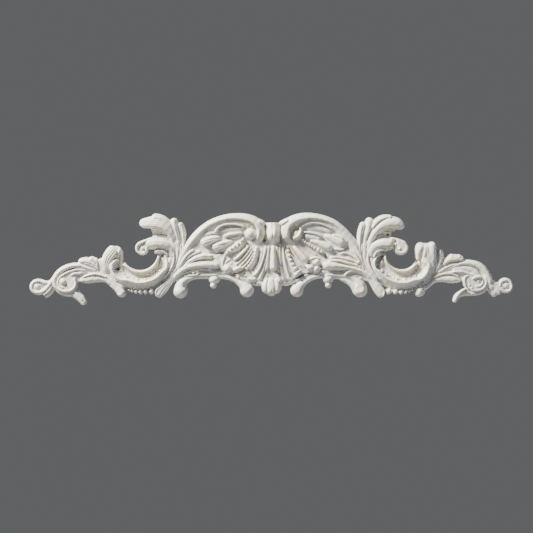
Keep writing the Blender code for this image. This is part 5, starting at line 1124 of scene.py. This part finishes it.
def make_casting():
    """The whole onlay as one skin: the strokes melted together, cut, softened and thinned out."""
    points, faces, cuts, total = [], [], [], 0
    for carving in all_carvings():
        points.append(np.vstack(carving.points))
        faces += [[total + i for i in face] for face in carving.faces]
        total += len(points[-1])
        cuts += carving.cuts
    casting = linked("onlay_skin", plain_mesh("onlay_skin", np.vstack(points).tolist(), faces))
    melt = casting.modifiers.new("melt", "REMESH")
    melt.mode = "VOXEL"
    melt.voxel_size = GRAIN
    soften = casting.modifiers.new("soften", "SMOOTH")
    soften.factor = 0.5
    soften.iterations = SOFTEN
    mesh = bake(casting)
    skin = coords_of(mesh)
    cut_into(skin, cuts)
    partly_filled(skin)
    hand_modelled(skin)
    skin[:, 1] = np.minimum(skin[:, 1], 0)
    set_coords(mesh, skin)
    weld = casting.modifiers.new("weld", "WELD")
    weld.merge_threshold = WELD
    bake(casting)
    thin = casting.modifiers.new("thin", "DECIMATE")
    casting.data.calc_loop_triangles()
    thin.ratio = min(1, FACETS / len(casting.data.loop_triangles))
    mesh = bake(casting)
    skin = coords_of(mesh)
    mark_relief(mesh, skin)
    set_coords(mesh, fitted(skin))
    mesh.shade_smooth()
    mesh.set_sharp_from_angle(angle=BACK_EDGE)
    return casting


def linear(code):
    """A colour written as a hex code, as linear red, green, blue and 1."""
    parts = [int(code[k:k + 2], 16) / 255 for k in (1, 3, 5)]
    return tuple(p / 12.92 if p <= 0.04045 else ((p + 0.055) / 1.055) ** 2.4 for p in parts) + (1.0,)


def node(material, kind, inputs=(), **settings):
    """Add a shader node: its settings by name, and (socket, value or output socket) pairs."""
    made = material.node_tree.nodes.new(kind)
    for name, value in settings.items():
        setattr(made, name, value)
    for socket, value in inputs:
        if isinstance(value, bpy.types.NodeSocket):
            material.node_tree.links.new(value, made.inputs[socket])
        else:
            made.inputs[socket].default_value = value
    return made


def between(material, value, low, high, low_out=0.0, high_out=1.0):
    """Value carried from one range to another, and held at its ends."""
    ends = [("From Min", low), ("From Max", high), ("To Min", low_out), ("To Max", high_out)]
    return node(material, "ShaderNodeMapRange", [("Value", value), *ends]).outputs["Result"]


def product(material, one, other):
    """Two shader values multiplied."""
    return node(material, "ShaderNodeMath", [(0, one), (1, other)], operation="MULTIPLY").outputs[0]


def tinted(material, colour, share, tint):
    """A colour moved towards a tint by a share of 0 to 1."""
    mix = node(material, "ShaderNodeMix", data_type="RGBA")
    links = material.node_tree.links
    links.new(share, mix.inputs[0])
    links.new(colour, mix.inputs[6])
    mix.inputs[7].default_value = linear(tint)
    return mix.outputs[2]


def cloud(material, size, detail=2.0):
    """Soft noise whose blotches are this many millimetres wide."""
    place = node(material, "ShaderNodeTexCoord").outputs["Object"]
    blotches = [("Vector", place), ("Scale", 1000 / size), ("Detail", detail)]
    return node(material, "ShaderNodeTexNoise", blotches).outputs["Fac"]


def satin_resin():
    """Polyester casting resin from a silicone mould: off-white, a satin skin that the mould's fine grain
    breaks up, ivory where the paste is thin or handled, and brown painted shade that darkens the hollows."""
    material = bpy.data.materials.new("satin_cast_resin")
    material.use_nodes = True
    shader = material.node_tree.nodes["Principled BSDF"]
    hollow = node(material, "ShaderNodeAttribute", attribute_name="hollow").outputs["Fac"]
    crest = node(material, "ShaderNodeAttribute", attribute_name="crest").outputs["Fac"]

    body = node(material, "ShaderNodeRGB")
    body.outputs[0].default_value = linear("#D7D6CD")
    ivory = product(material, between(material, cloud(material, 14), 0.47, 0.62),
                    between(material, crest, 0.1, 0.9, 0.2, 0.9))
    colour = tinted(material, body.outputs[0], ivory, "#E4D5A8")
    # painted shade: the colour goes darker and browner where the skin lies in a hollow, as shade would
    # fall there
    hollow_shade = product(material, between(material, hollow, 0.08, 0.9),
                   between(material, cloud(material, 9), 0.3, 0.6, 0.3, 0.85))
    colour = tinted(material, colour, hollow_shade, "#8F7F64")
    gloss = between(material, cloud(material, 6), 0.3, 0.7, 0.4, 0.56)
    grain = node(material, "ShaderNodeBump",
                 [("Height", cloud(material, 1.6, 4.0)), ("Strength", 0.25), ("Distance", 0.0002)])

    links = material.node_tree.links
    links.new(colour, shader.inputs["Base Color"])
    links.new(gloss, shader.inputs["Roughness"])
    links.new(grain.outputs["Normal"], shader.inputs["Normal"])
    shader.inputs["IOR"].default_value = 1.5
    return material


def add_lamp(name, place, size, power, colour):
    """A square lamp of this size in metres and power in watts, aimed at the middle of the casting."""
    data = bpy.data.lights.new(name, "AREA")
    data.size = size
    data.energy = power
    data.color = linear(colour)[:3]
    placed = linked(name, data)
    placed.location = place
    placed.rotation_euler = (-Vector(place)).to_track_quat("-Z", "Y").to_euler()


def make_floor():
    """A pale round floor far below, which throws a little light back up."""
    bm = bmesh.new()
    bmesh.ops.create_circle(bm, cap_ends=True, segments=96, radius=1.0)
    mesh = bpy.data.meshes.new("floor")
    bm.to_mesh(mesh)
    bm.free()
    floor = linked("floor", mesh)
    floor.location = (0, 0, -1.2)
    paint = bpy.data.materials.new("pale_floor")
    paint.use_nodes = True
    shader = paint.node_tree.nodes["Principled BSDF"]
    shader.inputs["Base Color"].default_value = linear("#D9DADB")
    shader.inputs["Roughness"].default_value = 0.8
    floor.data.materials.append(paint)
    return floor


def light_studio():
    """An even grey room, a soft key lamp above on the left and a faint cool one on the right."""
    world = bpy.data.worlds.new("studio")
    bpy.context.scene.world = world
    world.use_nodes = True
    backdrop = world.node_tree.nodes["Background"]
    backdrop.inputs["Color"].default_value = linear("#CCCFD2")
    backdrop.inputs["Strength"].default_value = 0.2
    add_lamp("key", (-1.15, -0.62, 1.2), 0.36, 181, "#FFF8EE")
    add_lamp("fill", (1.3, -0.9, 0.2), 1.0, 5, "#BFCFFF")


def make_camera():
    """A camera straight in front, at the height and reach of the casting."""
    data = bpy.data.cameras.new("camera")
    data.angle = 2 * math.atan(VIEW / 2 / DISTANCE)
    camera = linked("camera", data)
    camera.location = (LOOK_AT[0], LOOK_AT[1] - DISTANCE, LOOK_AT[2])
    camera.rotation_euler = (math.pi / 2, 0, 0)
    return camera


casting = make_casting()
casting.data.materials.append(satin_resin())
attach(casting, "root")
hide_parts(NODE)

floor = make_floor()

light_studio()
bpy.context.scene.camera = make_camera()
